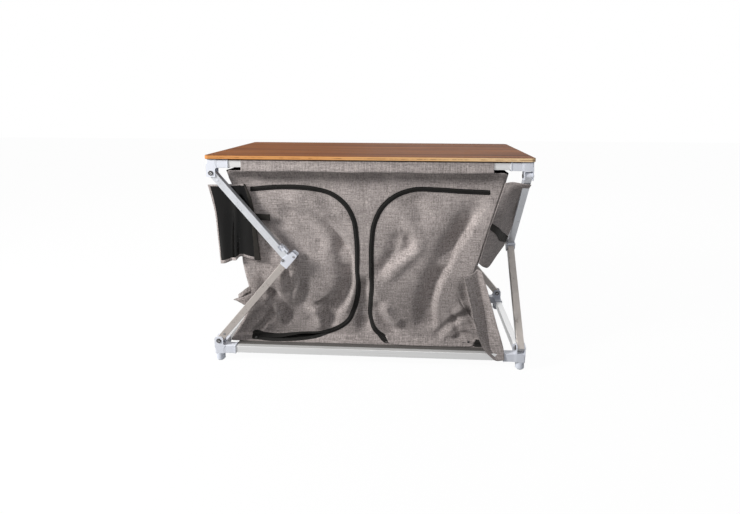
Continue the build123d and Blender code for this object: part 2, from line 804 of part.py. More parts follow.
def make_flaps():
    """The loose side flaps at the corners and the strap that ties the left one to its leg."""
    hang = -cloth_front - front_gap
    near = hang + low_flap_back
    hanging_sheet("flap_fl_upper", flap_rows(left_upper_flap, -1, hang))
    hanging_sheet("flap_fl_lower", flap_rows(left_lower_flap, -1, near))
    over_rail = -pin_y - tube / 2 - front_gap - cloth
    beside_lip = pin_x - bracket_side / 2 - sleeve_length - cloth_gap
    crossing = flap_rows(right_lower_flap, 1, hang)
    for z in (foot_height + bracket_side, flap_foot):
        left, fold = beside_lip - flap_foot_width, beside_lip - flap_foot_width / 2
        crossing.append((z, left, fold, beside_lip, over_rail))
    hanging_sheet("flap_fr_lower", crossing)
    near_end, far_end = [end - cloth_half for end in left_strap_ends]
    low = height_at(left_strap_share)
    with BuildPart() as strap:
        with BuildSketch(Plane.XZ.offset(-hang + cloth)):
            block(near_end, far_end, low, low + strap_width)
        extrude(amount=cloth)
    save(strap.part, "strap_fl")


def sheet_section(high, low):
    """An upright cut through a sheet of cloth between two points of its rear face."""
    thick = Vector(0, -cloth, 0)
    return Face(Wire.make_polygon([high, low, low + thick, high + thick], close=True))


def make_wrapped_flap():
    """The flap that wraps over the front right upper leg, and the strap across it."""
    top = top_pin_z - wrap_top
    leg_low = height_at(wrap_low)
    leg_face = pin_y + tube / 2 / cos(radians(leg_lean)) + 2 * cloth_gap
    high_y = (top_pin_z - top) * leg_slope - leg_face
    low_y = (top_pin_z - leg_low) * leg_slope - leg_face
    fork = pin_x - fork_outside
    near = -cloth_front - front_gap / 2
    (first_high, first_low, first_drop), (second_high, second_low, second_drop) = wrap_edges
    leg_left = pin_x - tube / 2 + wrap_narrowing[1]
    edges = [
        (Vector(cloth_half + first_high, near, top),
         Vector(cloth_half + first_low, near, leg_low - first_drop)),
        (Vector(cloth_half + second_high, near - wrap_forward, top),
         Vector(cloth_half + second_low, -wrap_back * pin_y, leg_low - second_drop)),
        (Vector(fork, high_y, top), Vector(fork - wrap_narrowing[0], low_y, leg_low)),
        (Vector(pin_x + tube / 2, high_y, top), Vector(leg_left, low_y, leg_low)),
    ]
    with BuildPart() as flap:
        loft([sheet_section(high, low) for high, low in edges], ruled=True)
    save(flap.part, "flap_fr_upper")
    lift = Vector(0, -cloth - right_strap_lift, 0)
    over_leg = (Vector(pin_x + tube / 2, high_y, top), Vector(pin_x + tube / 2, low_y, leg_low))
    start, end = cloth_half - right_strap_start, pin_x + tube / 2 - right_strap_end
    start_z, end_z = [height_at(share) for share in right_strap_shares]
    half = strap_width / 2
    with BuildPart() as strap:
        with BuildSketch(Plane.XZ):
            with BuildLine():
                high_side = ((start, start_z + half), (end, end_z + half))
                low_side = ((end, end_z - half), (start, start_z - half))
                Polyline(*high_side, *low_side, high_side[0])
            make_face()
        extrude(amount=frame_width, both=True)
        loft([sheet_section(high + lift, low + lift) for high, low in [*edges[:-1], over_leg]],
             ruled=True, mode=Mode.INTERSECT)
    save(strap.part, "strap_fr")


make_worktop()
make_board_screws()
make_rails()
make_brackets()
make_feet()
make_frame_pins()
make_legs()
make_floor_panel()
make_cabinet()
make_shelves()
make_tunnels()
make_flaps()
make_wrapped_flap()
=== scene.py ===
"""Looks of the quick-fold camping cupboard, half folded. Metres in Blender, millimetres in the tables."""

import json
from math import cos, pi, radians, sin

import bpy
import numpy as np
from mathutils import Matrix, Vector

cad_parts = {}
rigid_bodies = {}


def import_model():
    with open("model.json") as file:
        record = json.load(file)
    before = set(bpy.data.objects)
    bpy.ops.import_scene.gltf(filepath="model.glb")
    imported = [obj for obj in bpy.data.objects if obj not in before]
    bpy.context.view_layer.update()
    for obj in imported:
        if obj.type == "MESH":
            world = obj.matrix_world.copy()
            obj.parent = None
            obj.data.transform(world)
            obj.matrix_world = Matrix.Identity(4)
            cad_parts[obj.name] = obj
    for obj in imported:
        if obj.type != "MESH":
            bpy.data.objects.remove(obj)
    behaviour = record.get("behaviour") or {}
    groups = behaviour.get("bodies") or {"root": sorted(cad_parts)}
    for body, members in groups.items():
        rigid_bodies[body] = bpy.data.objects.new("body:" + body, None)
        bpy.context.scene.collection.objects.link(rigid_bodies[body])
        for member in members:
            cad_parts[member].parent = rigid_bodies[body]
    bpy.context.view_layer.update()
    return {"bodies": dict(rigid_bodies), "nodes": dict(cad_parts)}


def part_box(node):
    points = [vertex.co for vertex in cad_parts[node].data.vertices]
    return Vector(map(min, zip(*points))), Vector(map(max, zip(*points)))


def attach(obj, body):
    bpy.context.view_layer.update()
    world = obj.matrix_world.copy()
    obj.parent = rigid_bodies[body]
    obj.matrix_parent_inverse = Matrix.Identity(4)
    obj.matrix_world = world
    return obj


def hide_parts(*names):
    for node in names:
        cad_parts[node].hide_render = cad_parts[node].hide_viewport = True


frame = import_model()
nodes = frame["nodes"]
MM = 0.001

# Places that the frame gives, in millimetres; the hem is half a millimetre above the floor panel
rail_low, rail_high = (np.array(corner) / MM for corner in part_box("rail_top_front"))
SLEEVE_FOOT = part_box("rail_sleeves")[0][2] / MM
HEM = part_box("floor_panel")[1][2] / MM + 0.5
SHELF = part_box("shelf_left")[1][2] / MM

# The flat front before its folds: its depth, its upper edge and its middle seam, in millimetres
FRONT = -212.8
TOP = 622.5
MIDDLE = -15.0


# Cloth sums

# Points along each fold's line
FOLD_STEPS = 24


def together(*parts):
    """Numbers spread to one shape and laid side by side as the last axis of one array."""
    return np.stack(np.broadcast_arrays(*parts), axis=-1)


def follow(knots, rows, at):
    """Cubic curve through rows of numbers at their knots, its slope at each the mean of both sides."""
    knots = np.asarray(knots, float)
    rows = np.asarray(rows, float)
    at = np.asarray(at, float)
    slope = np.gradient(rows, knots, axis=0)
    first = np.clip(np.searchsorted(knots, at, side="right") - 1, 0, len(knots) - 2)
    gap = knots[first + 1] - knots[first]
    t = np.clip((at - knots[first]) / gap, 0, 1)
    if rows.ndim > 1:
        fold = (...,) + (None,) * (rows.ndim - 1)
        gap, t = gap[fold], t[fold]
    square, cube = t * t, t * t * t
    return (
        (2 * cube - 3 * square + 1) * rows[first]
        + (cube - 2 * square + t) * gap * slope[first]
        + (3 * square - 2 * cube) * rows[first + 1]
        + (cube - square) * gap * slope[first + 1]
    )


def lengths(points):
    """Distance along a run of points up to each of them."""
    steps = np.linalg.norm(np.diff(points, axis=0), axis=1)
    return np.concatenate([[0.0], np.cumsum(steps)])


def walk(run, at):
    """Places on a run of points at distances along it."""
    reach = lengths(run)
    return together(*(np.interp(at, reach, axis) for axis in run.T))


def even_run(points, count):
    """Smooth curve through a few points, cut into steps of equal length."""
    points = np.asarray(points, float)
    reach = lengths(points)
    fine = follow(reach, points, np.linspace(0, reach[-1], 10 * count))
    return walk(fine, np.linspace(0, lengths(fine)[-1], count))


def turned_left(ahead):
    """Directions in the plane, brought to length one and turned by a quarter to the left."""
    ahead = ahead / np.linalg.norm(ahead, axis=-1)[..., None]
    return together(-ahead[..., 1], ahead[..., 0])


def ease(t):
    """Rises smoothly from 0 to 1 while t does, by 3t squared less 2t cubed."""
    t = np.clip(t, 0, 1)
    return t * t * (3 - 2 * t)


def beside(x, z, line):
    """Distance from a line read off the cloth, positive on the right of its downward run, and the share
    of its length at the nearest point."""
    start, span = line[:-1], np.diff(line, axis=0)
    away = together(x, z)[..., None, :] - start
    share = np.clip((away * span).sum(-1) / (span ** 2).sum(-1), 0, 1)
    off = away - share[..., None] * span
    square = (off ** 2).sum(-1)
    nearest = square.argmin(-1)[..., None]
    take = lambda a: np.take_along_axis(a, nearest, -1)[..., 0]
    turn = span[:, 0] * away[..., 1] - span[:, 1] * away[..., 0]
    return np.sign(take(turn)) * np.sqrt(take(square)), (nearest[..., 0] + take(share)) / len(span)


def along_fold(x, z, points, ends=(0.25, 0.25)):
    """Distance beside a fold's line, and its strength: one in the middle, eased to zero at both ends."""
    off, share = beside(x, z, even_run(points, FOLD_STEPS))
    return off, ease(share / ends[0]) * ease((1 - share) / ends[1])


def step_fold(x, z, points, height, width):
    """A fold with a crest on the left of its line and a valley on its right: minus height times u times
    exp of (1 - u squared)/2, with u the distance in widths."""
    off, fade = along_fold(x, z, points)
    u = off / width
    return -height * fade * u * np.exp((1 - u * u) / 2)


def groove(x, z, points, depth, left, right, *ends):
    """A valley along a line: minus depth times exp of minus u squared, u the distance in the width of the
    slope on that side."""
    off, fade = along_fold(x, z, points, *ends)
    width = np.where(off < 0, left, right)
    return -depth * fade * np.exp(-((off / width) ** 2))


def wander(x, z, height, across, bend, slow, up, lean):
    """Low uneven waves: height times sin(x/across + bend sin(z/slow)) times sin(z/up + x/lean)."""
    return height * np.sin(x / across + bend * np.sin(z / slow)) * np.sin(z / up + x / lean)


# Meshes

# Below this height the cloth stays on the bottom frame, and in how many steps it takes up the top's motion
HANG_LOW = 70.0
HANG_STEPS = 64


def placed(name, data, axes=None, at=None):
    """A new object in the scene; with three axes and a place, its turn and its place in the world."""
    made = bpy.data.objects.new(name, data)
    bpy.context.scene.collection.objects.link(made)
    if axes:
        made.matrix_world = Matrix([[*(axis[k] for axis in axes), at[k]] for k in range(3)] + [[0, 0, 0, 1]])
    return made


def new_piece(name, points, faces, flat, finishes, body, face_finish=None):
    """A piece at the origin from points in millimetres; flat gives each face corner its place on the
    uncut cloth, in metres, as the UV map."""
    mesh = bpy.data.meshes.new(name)
    mesh.from_pydata((np.asarray(points) * MM).tolist(), [], [list(f) for f in faces])
    if flat is not None:
        layer = mesh.uv_layers.new(name="cut")
        layer.data.foreach_set("uv", np.asarray(flat, np.float32).reshape(-1))
    for finish in finishes:
        mesh.materials.append(finish)
    mesh.polygons.foreach_set("use_smooth", [True] * len(mesh.polygons))
    if face_finish is not None:
        mesh.polygons.foreach_set("material_index", np.asarray(face_finish, np.int32))
    mesh.update()
    piece = placed(name, mesh)
    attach(piece, body)
    return piece


def grid_piece(name, places, cut, finishes, body, wrap=False, pole=False):
    """A piece from a grid of places, rows by columns by three. cut is the same grid on the flat cloth, one
    column wider when the last column joins the first. A pole draws the first row together in one point."""
    rows, columns = places.shape[:2]
    number = np.arange(rows * columns).reshape(rows, columns)
    beyond = np.roll(number, -1, axis=1) if wrap else number[:, 1:]
    here = number if wrap else number[:, :-1]
    quads = together(here[:-1], beyond[:-1], beyond[1:], here[1:]).reshape(-1, 4)
    flat = np.stack([cut[:-1, :-1], cut[:-1, 1:], cut[1:, 1:], cut[1:, :-1]], axis=2).reshape(-1, 4, 2)
    points = places.reshape(-1, 3)
    if not pole:
        return new_piece(name, points, quads, flat.reshape(-1, 2), finishes, body)
    fan = quads[:columns][:, [0, 2, 3]].copy()
    fan[:, 0] = 0
    shift = lambda a: np.where(a == 0, 0, a - (columns - 1))
    faces = [list(f) for f in shift(fan)] + [list(f) for f in quads[columns:] - (columns - 1)]
    flat = np.concatenate([flat[:columns][:, [0, 2, 3]].reshape(-1, 2), flat[columns:].reshape(-1, 2)])
    kept = np.concatenate([points[:1], points[columns:]])
    return new_piece(name, kept, faces, flat, finishes, body)


def thicken(piece, thickness):
    """Cloth thickness behind the face that is seen; the reverse takes the second finish."""
    wall = piece.modifiers.new("cloth thickness", "SOLIDIFY")
    wall.thickness = thickness * MM
    wall.offset = -1.0
    wall.material_offset = 1
    wall.use_even_offset = False


def hang(piece):
    """The piece rides on the bottom frame and its points follow the top frame by their share of the
    height, so the cloth sinks and rises with it and is unchanged at rest."""
    points = np.empty(len(piece.data.vertices) * 3)
    piece.data.vertices.foreach_get("co", points)
    share = np.clip((points.reshape(-1, 3)[:, 2] / MM - HANG_LOW) / (TOP - HANG_LOW), 0, 1)
    group = piece.vertex_groups.new(name="follows the top")
    for step in range(1, HANG_STEPS + 1):
        members = np.nonzero(np.round(share * HANG_STEPS) == step)[0]
        if len(members):
            group.add(members.tolist(), step / HANG_STEPS, "REPLACE")
    bpy.context.view_layer.update()
    hook = piece.modifiers.new("hangs on the top frame", "HOOK")
    hook.object = frame["bodies"]["top"]
    hook.vertex_group = group.name
    hook.falloff_type = "NONE"
    hook.matrix_inverse = frame["bodies"]["top"].matrix_world.inverted() @ piece.matrix_world


def spread(net, rows, columns, across=(0, 1), down=(0, 1)):
    """Smooth surface through a net of points, rows by columns by three: cubic across each row, then cubic
    down the rows, between two shares of each way."""
    surface = np.asarray(net, float)
    for share, count in ((across, columns), (down, rows)):
        surface = surface.transpose(1, 0, 2)
        knots = np.arange(len(surface))
        surface = follow(knots, surface, np.linspace(*share, count) * (len(surface) - 1))
    return surface


def cut_of(places):
    """Flat measures of a grid of cloth: the mean length along each way, in metres."""
    wide = np.linalg.norm(np.diff(places, axis=1), axis=2).mean(0)
    tall = np.linalg.norm(np.diff(places, axis=0), axis=2).mean(1)
    u = np.concatenate([[0], np.cumsum(wide)])
    v = np.concatenate([[0], np.cumsum(tall)])
    return together(u[None, :], v[:, None]) * MM


def laid(name, places, finishes, body="base", node=None):
    """A piece from a grid of cloth, with its flat measures; it stands for a CAD node where one is named."""
    piece = grid_piece(name, places, cut_of(places), finishes, body)
    if node:
        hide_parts(node)
    return piece


def turned_out(places):
    """The grid with its columns reversed where its faces would look to the rear."""
    a = places[1:, :-1] - places[:-1, :-1]
    b = places[:-1, 1:] - places[:-1, :-1]
    if np.cross(b, a)[..., 1].mean() < 0:
        return places
    return places[:, ::-1]


# Finishes

# Most of a noise lies between these
MIDDLE_RANGE = (0.3, 0.7)


class Nodes:
    """A tree of shader nodes with short calls for adding to it."""

    def __init__(self, tree):
        """Keep the tree."""
        self.tree = tree

    def put(self, socket, value):
        """A number, a colour or another node's output on a socket."""
        if isinstance(value, bpy.types.NodeSocket):
            self.tree.links.new(value, socket)
        else:
            socket.default_value = value

    def node(self, kind, inputs):
        """A new node with numbers or other nodes' outputs on its inputs."""
        made = self.tree.nodes.new("ShaderNode" + kind)
        for socket, value in inputs.items():
            self.put(made.inputs[socket], value)
        return made

    def sums(self, kind, first, second):
        """Blender's sum of this kind for two values, either of which may be a number."""
        node = self.node("Math", {0: first, 1: second})
        node.operation = kind
        return node.outputs["Value"]


class Finish(Nodes):
    """A material, with calls for the patterns that the finishes share."""

    def __init__(self, name, rough=0.5, metal=0.0):
        """A new material with its roughness and metal share, and its places for patterns."""
        self.material = bpy.data.materials.new(name)
        self.material.use_nodes = True
        super().__init__(self.material.node_tree)
        self.shader = self.tree.nodes["Principled BSDF"]
        self.shader.inputs["Roughness"].default_value = rough
        self.shader.inputs["Metallic"].default_value = metal
        self.place = self.node("TexCoord", {})

    def mapped(self, source, scale):
        """Places along the object or the cut cloth, stretched by a scale in each direction."""
        return self.node("Mapping", {"Vector": self.place.outputs[source], "Scale": scale}).outputs["Vector"]

    def noise(self, source, scale, detail=2.0, rough=0.5, stretch=(1, 1, 1)):
        """Blender's noise over the stretched places, from 0 to 1."""
        places = self.mapped(source, stretch)
        inputs = {"Vector": places, "Scale": scale, "Detail": detail, "Roughness": rough}
        return self.node("TexNoise", inputs).outputs["Fac"]

    def waves(self, scale, direction, bend=0.0):
        """Sine bands over the cut cloth, from 0 to 1."""
        places = self.mapped("UV", (1, 1, 1))
        inputs = {"Vector": places, "Scale": scale, "Distortion": bend, "Detail Scale": 3.0}
        node = self.node("TexWave", inputs)
        node.bands_direction = direction
        return node.outputs["Fac"]

    def span(self, value, low, high, to_low=0.0, to_high=1.0):
        """A value carried from one range to another, held at both ends."""
        ends = {"Value": value, "From Min": low, "From Max": high, "To Min": to_low, "To Max": to_high}
        return self.node("MapRange", ends).outputs["Result"]

    def weighed(self, *pairs):
        """The sum of values, each times its weight."""
        total = None
        for value, weight in pairs:
            part = value if weight == 1 else self.sums("MULTIPLY", value, weight)
            total = part if total is None else self.sums("ADD", total, part)
        return total

    def colours(self, value, stops):
        """Colours along a value, each stop a place and a colour in plain 0 to 255 numbers."""
        node = self.node("ValToRGB", {"Fac": value})
        ramp = node.color_ramp
        while len(ramp.elements) < len(stops):
            ramp.elements.new(0.5)
        for element, (place, colour) in zip(ramp.elements, stops):
            element.position = place
            element.color = paint(colour)
        return node.outputs["Color"]

    def tones(self, value, dark, light):
        """From one colour to another over the middle range of a value."""
        return self.colours(value, list(zip(MIDDLE_RANGE, (dark, light))))

    def polish(self, value, low, high):
        """From one roughness to another over the middle range of a value."""
        return self.span(value, *MIDDLE_RANGE, low, high)

    def blend(self, share, first, second):
        """One colour or the other by a share; each may be a socket or plain numbers."""
        node = self.node("Mix", {})
        node.data_type = "RGBA"
        sockets = [s for s in node.inputs if s.type == "RGBA"]
        for socket, value in zip(sockets, (first, second)):
            self.put(socket, paint(value) if isinstance(value, tuple) else value)
        self.put(node.inputs[0], share)
        return [s for s in node.outputs if s.type == "RGBA"][0]

    def along(self, axis):
        """The place on the object along one axis, in metres."""
        return self.node("SeparateXYZ", {0: self.place.outputs["Object"]}).outputs[axis]

    def dim(self, level):
        """Set how strongly the surface mirrors; Blender's own level is 0.5."""
        self.shader.inputs["Specular IOR Level"].default_value = level

    def finish(self, colour, relief, height, rough, sheen=0.0):
        """Join the colour, the relief and the roughness to the shader."""
        bump = self.node("Bump", {"Height": relief, "Distance": height, "Strength": 1.0})
        surface = {
            "Base Color": colour, "Normal": bump.outputs["Normal"], "Roughness": rough, "Sheen Weight": sheen,
        }
        for socket, value in surface.items():
            self.put(self.shader.inputs[socket], value)
        return self.material


def paint(colour):
    """A colour given as seen, 0 to 255, as the light values that the shader takes: the sRGB curve."""
    share = np.array(colour[:3], float) / 255
    light = np.where(share <= 0.04045, share / 12.92, ((share + 0.055) / 1.055) ** 2.4)
    return (*light.tolist(), 1.0)


def melange(name, dark, light):
    """Linen-look polyester: dashes of warp and weft thread in two greys that cross, with slubs and a fine
    plain weave."""
    f = Finish(name, rough=0.88)
    weft = f.noise("UV", 1.0, 2.0, 0.6, (110, 1500, 1))
    warp = f.noise("UV", 1.0, 2.0, 0.6, (1500, 110, 1))
    slub = f.noise("UV", 1.0, 2.0, 0.5, (22, 520, 1))
    cross = f.noise("UV", 1.0, 2.0, 0.5, (520, 22, 1))
    patches = f.span(f.noise("UV", 9.0, 3.0), *MIDDLE_RANGE, -0.02, 0.02)
    threads = f.weighed((weft, 0.32), (warp, 0.32), (slub, 0.2), (cross, 0.16), (patches, 1))
    middle = tuple((a + b) / 2 for a, b in zip(dark, light))
    tone = f.colours(threads, [(0.40, dark), (0.49, middle), (0.585, light)])
    weave = f.sums("ADD", f.waves(360, "X"), f.waves(360, "Y"))
    soft = f.noise("UV", 16.0, 2.0, 0.5)
    relief = f.weighed((weave, 0.5), (threads, 2.5), (soft, 1.2))
    # Painted shade: below 0.34 m the cloth is mixed towards a darker grey, up to three tenths at 0.08 m and
    # below, for the shade on its lower part
    painted_shade_low = f.span(f.along("Z"), 0.08, 0.34, 0.3, 0.0)
    tone = f.blend(painted_shade_low, tone, scaled(dark, 0.45))
    return f.finish(tone, relief, 0.00022, f.polish(threads, 0.95, 0.8), sheen=0.1)


def coating():
    """Black coated reverse: smooth, half gloss, with fine creases."""
    f = Finish("black coating", rough=0.34)
    f.dim(0.2)
    crease = f.noise("UV", 38.0, 4.0, 0.55, (1.8, 0.7, 1))
    fine = f.noise("UV", 900.0, 2.0, 0.5)
    tone = f.tones(f.noise("UV", 12.0, 3.0), (9, 8, 8), (18, 17, 16))
    relief = f.weighed((crease, 1), (fine, 0.1))
    return f.finish(tone, relief, 0.0016, f.polish(crease, 0.15, 0.32))


def scaled(tone, share):
    """A colour made darker or lighter by a share."""
    return tuple(share * c for c in tone)


def shifted(tone, step):
    """A colour with a step added to each number, at most white."""
    return tuple(min(255, c + step) for c in tone)


def ribbed_tape(name, ribs, tone):
    """Woven tape with ribs across its run."""
    f = Finish(name, rough=0.72)
    f.dim(0.15)
    rib = f.waves(ribs, "X", 0.4)
    fibre = f.noise("UV", 1.0, 3.0, 0.6, (1500, 900, 1))
    tones = f.tones(fibre, scaled(tone, 0.72), scaled(tone, 1.35))
    relief = f.weighed((rib, 1), (fibre, 0.8))
    return f.finish(tones, relief, 0.0003, f.polish(fibre, 0.6, 0.82), sheen=0.03)


def moulded(name, tone):
    """White moulded plastic, fine matt grain with faint flow marks."""
    f = Finish(name, rough=0.42)
    pore = f.noise("Object", 1400.0, 2.0)
    flow = f.noise("Object", 26.0, 3.0, 0.55, (1, 1, 0.35))
    tones = f.tones(flow, shifted(tone, -7), shifted(tone, 5))
    relief = f.weighed((pore, 0.35), (flow, 1))
    return f.finish(tones, relief, 0.0004, f.polish(pore, 0.34, 0.5))


def drawn_tube(name, tone, axis, metal):
    """Coated aluminium tube with faint draw lines along its run, and small scuffs."""
    f = Finish(name, rough=0.32, metal=metal)
    stretch = {"X": (3, 700, 700), "Y": (700, 3, 700), "both": (60, 60, 60)}[axis]
    draw = f.noise("Object", 1.0, 3.0, 0.6, stretch)
    scuff = f.noise("Object", 45.0, 5.0, 0.7)
    tones = f.tones(draw, shifted(tone, -6), shifted(tone, 5))
    tones = f.blend(f.span(scuff, 0.62, 0.9, 0.0, 0.04), tones, scaled(tone, 0.88))
    relief = f.weighed((draw, 1), (scuff, 0.3))
    return f.finish(tones, relief, 0.00004, f.polish(draw, 0.26, 0.38))


def worn_steel(name, tone, rough):
    """Zinc-plated steel with fine turned scratches."""
    f = Finish(name, rough=rough, metal=0.9)
    scratch = f.noise("Object", 520.0, 4.0, 0.65)
    spot = f.noise("Object", 120.0, 3.0)
    tones = f.tones(spot, scaled(tone, 0.8), tone)
    return f.finish(tones, scratch, 0.00015, f.polish(scratch, rough - 0.08, rough + 0.12))


def board_wood(top):
    """Bamboo board: dark wood figure along X on both faces, pale layers with a darker glue line on the
    edge. The heights, in metres below the top, tell face from edge."""
    glue_at, low_from, low_full, high_from, high_full = 0.0062, 0.0113, 0.0106, 0.0011, 0.0004
    f = Finish("bamboo board", rough=0.5)
    f.dim(0.015)
    figure = f.noise("Object", 1.0, 6.0, 0.62, (2.6, 62, 62))
    fibre = f.noise("Object", 1.0, 4.0, 0.6, (22, 1150, 1150))
    strip_tone = f.noise("Object", 1.0, 0.0, 0.0, (0.9, 38, 38))
    grain = f.weighed((figure, 0.5), (fibre, 0.28), (strip_tone, 0.22))
    browns = [(0.36, (72, 38, 16)), (0.47, (112, 65, 32)), (0.56, (132, 80, 40)), (0.66, (156, 99, 52))]
    # Painted light: the edge colours, laid along X below, grow paler towards the right, for the brighter
    # light falling there
    pales_painted_light = [(0.0, (203, 142, 88)), (0.35, (216, 158, 100)), (0.7, (232, 188, 134)), (1.0, (246, 216, 172))]
    face = f.colours(grain, browns)
    edge = f.colours(f.span(f.along("X"), -0.5, 0.5), pales_painted_light)
    layer = f.noise("Object", 1.0, 5.0, 0.65, (16, 16, 900))
    edge = f.blend(f.span(layer, 0.5, 0.68, 0.0, 0.4), edge, (150, 92, 54))
    height = f.along("Z")
    line = f.sums("ABSOLUTE", f.sums("SUBTRACT", height, top - glue_at), 0.0)
    broken = f.noise("Object", 1.0, 3.0, 0.7, (30, 30, 30))
    thin = f.span(line, 0.0005, 0.0013, 1.0, 0.0)
    glue = f.sums("MULTIPLY", thin, f.span(broken, 0.42, 0.55, 0.1, 0.8))
    edge = f.blend(glue, edge, (120, 68, 38))
    low_edge = f.span(height, top - low_from, top - low_full, 0.0, 1.0)
    high_face = f.span(height, top - high_from, top - high_full, 0.0, 1.0)
    tones = f.blend(high_face, edge, face)
    tones = f.blend(low_edge, face, tones)
    relief = f.weighed((fibre, 1), (figure, 0.6))
    return f.finish(tones, relief, 0.00012, f.polish(fibre, 0.46, 0.6))


def grey_board():
    """Stiff grey pressed board of the cabinet floor and the shelves."""
    f = Finish("pressed board", rough=0.7)
    fleck = f.noise("Object", 420.0, 4.0, 0.7)
    tones = f.colours(fleck, [(0.35, (66, 64, 63)), (0.65, (98, 95, 92))])
    return f.finish(tones, fleck, 0.0002, f.polish(fleck, 0.6, 0.8))


# The board's upper face, in metres
BOARD_TOP = 0.66997
MELANGE = melange("grey melange", (92, 86, 84), (212, 201, 198))
COATING = coating()
ZIP_TAPE = ribbed_tape("zip tape", 240, (26, 25, 24))
WEBBING = ribbed_tape("black webbing", 190, (30, 28, 25))
HOOK_TAPE = ribbed_tape("hook and loop tape", 700, (44, 41, 38))
THREAD = ribbed_tape("grey thread", 900, (150, 142, 138))
WHITE = moulded("white moulded plastic", (216, 219, 228))
FOOT = moulded("foot plastic", (212, 216, 226))
STEEL = worn_steel("plated steel", (150, 150, 152), 0.32)
DARK_STEEL = worn_steel("dark steel", (86, 84, 84), 0.4)
BOARD = board_wood(BOARD_TOP)
PANEL = grey_board()
TUBE_X = drawn_tube("coated tube along x", (214, 214, 214), "X", 0.35)
TUBE_Y = drawn_tube("coated tube along y", (214, 214, 214), "Y", 0.35)
TUBE_LEG = drawn_tube("coated leg tube", (207, 209, 214), "both", 0.35)
# Painted shade: a darker, warmer copy of the leg tube finish, for the shade on the lower leg tubes
TUBE_LOW_SHADED = drawn_tube("leg tube with painted shade", (176, 169, 164), "both", 0.35)


def dress(finish, *names):
    """Give carried-over parts a finish in their own slots."""
    for name in names:
        piece = nodes[name]
        if not piece.data.materials:
            piece.data.materials.append(finish)
        for slot_there in piece.material_slots:
            slot_there.link = "OBJECT"
            slot_there.material = finish


CORNERS = ("fl", "fr", "rr", "rl")
dress(BOARD, "worktop")
dress(TUBE_X, "rail_base_front", "rail_base_rear", "rail_top_front", "rail_top_rear")
dress(TUBE_Y, "rail_base_left", "rail_base_right", "rail_top_left", "rail_top_right")
for part in ("bracket_base", "bracket_top", "elbow_fork", "elbow_latch", "upper_plugs"):
    dress(WHITE, *(f"{part}_{corner}" for corner in CORNERS))
dress(STEEL, *(f"lower_fittings_{corner}" for corner in CORNERS), "board_screws")
dress(DARK_STEEL, "base_pivot_pins", "top_pivot_pins")
dress(TUBE_LEG, *(f"upper_tube_{corner}" for corner in CORNERS))
# Painted shade: the lower leg tubes take the darkened copy of the leg tube finish
dress(TUBE_LOW_SHADED, *(f"lower_tube_{corner}" for corner in CORNERS))
dress(FOOT, "feet")
dress(PANEL, "floor_panel", "shelf_left", "shelf_right")


# The cabinet, in rows of height and value: where its edges run and how far its top is drawn forward

LEFT_EDGE = np.array([
    (50, -458), (70, -447), (89, -436), (131, -411), (166, -397), (200, -387), (240, -391), (280, -400),
    (320, -407), (430, -402), (500, -405), (545, -418), (573, -431), (592, -438), (612, -438), (640, -438),
], float)
RIGHT_EDGE = np.array([
    (55, 413), (75, 396), (120, 379), (170, 362), (216, 350), (262, 342), (308, 339), (340, 350), (400, 367),
    (469, 387), (530, 404), (590, 421), (612, 424), (640, 424),
], float)
REAR_EDGE = np.array([
    (50, 412), (120, 398), (200, 384), (330, 378), (450, 388), (560, 408), (640, 426),
], float)
FORWARD = np.array([
    (50, 0), (540, 0), (575, 1), (592, 4), (604, 10), (614, 19), (625, 27), (640, 30),
], float)

# Folds as steps, in millimetres on the front: points, height, width
STEP_FOLDS = [
    ([(-290, 530), (-247, 509), (-205, 481), (-167, 443), (-130, 392), (-112, 350)], -5, 24),
    ([(-183, 190), (-181, 180), (-160, 163), (-142, 120), (-130, 90)], 8, 17),
    ([(-271, 305), (-268, 259), (-257, 217)], 4, 12),
    ([(-234, 300), (-217, 243), (-230, 200), (-252, 156)], 5, 15),
    ([(-335, 240), (-329, 223), (-297, 172), (-278, 129), (-273, 95)], 8, 13),
    ([(87, 440), (131, 424), (144, 384), (107, 345), (56, 291), (36, 255)], -5, 16),
    ([(38, 200), (44, 157), (70, 118), (109, 91)], -7, 16),
    ([(255, 122), (264, 132), (307, 165), (350, 190)], -3.6, 12),
    ([(212, 66), (222, 72), (265, 113), (307, 147)], 3.2, 10),
    ([(255, 66), (261, 68), (308, 96), (361, 78)], -3, 10),
    ([(60, 540), (120, 500), (220, 420), (300, 330)], 2.2, 30),
    ([(-360, 470), (-330, 400), (-325, 330)], 2.4, 18),
    ([(-190, 545), (-150, 520), (-110, 470)], 2.0, 18),
]

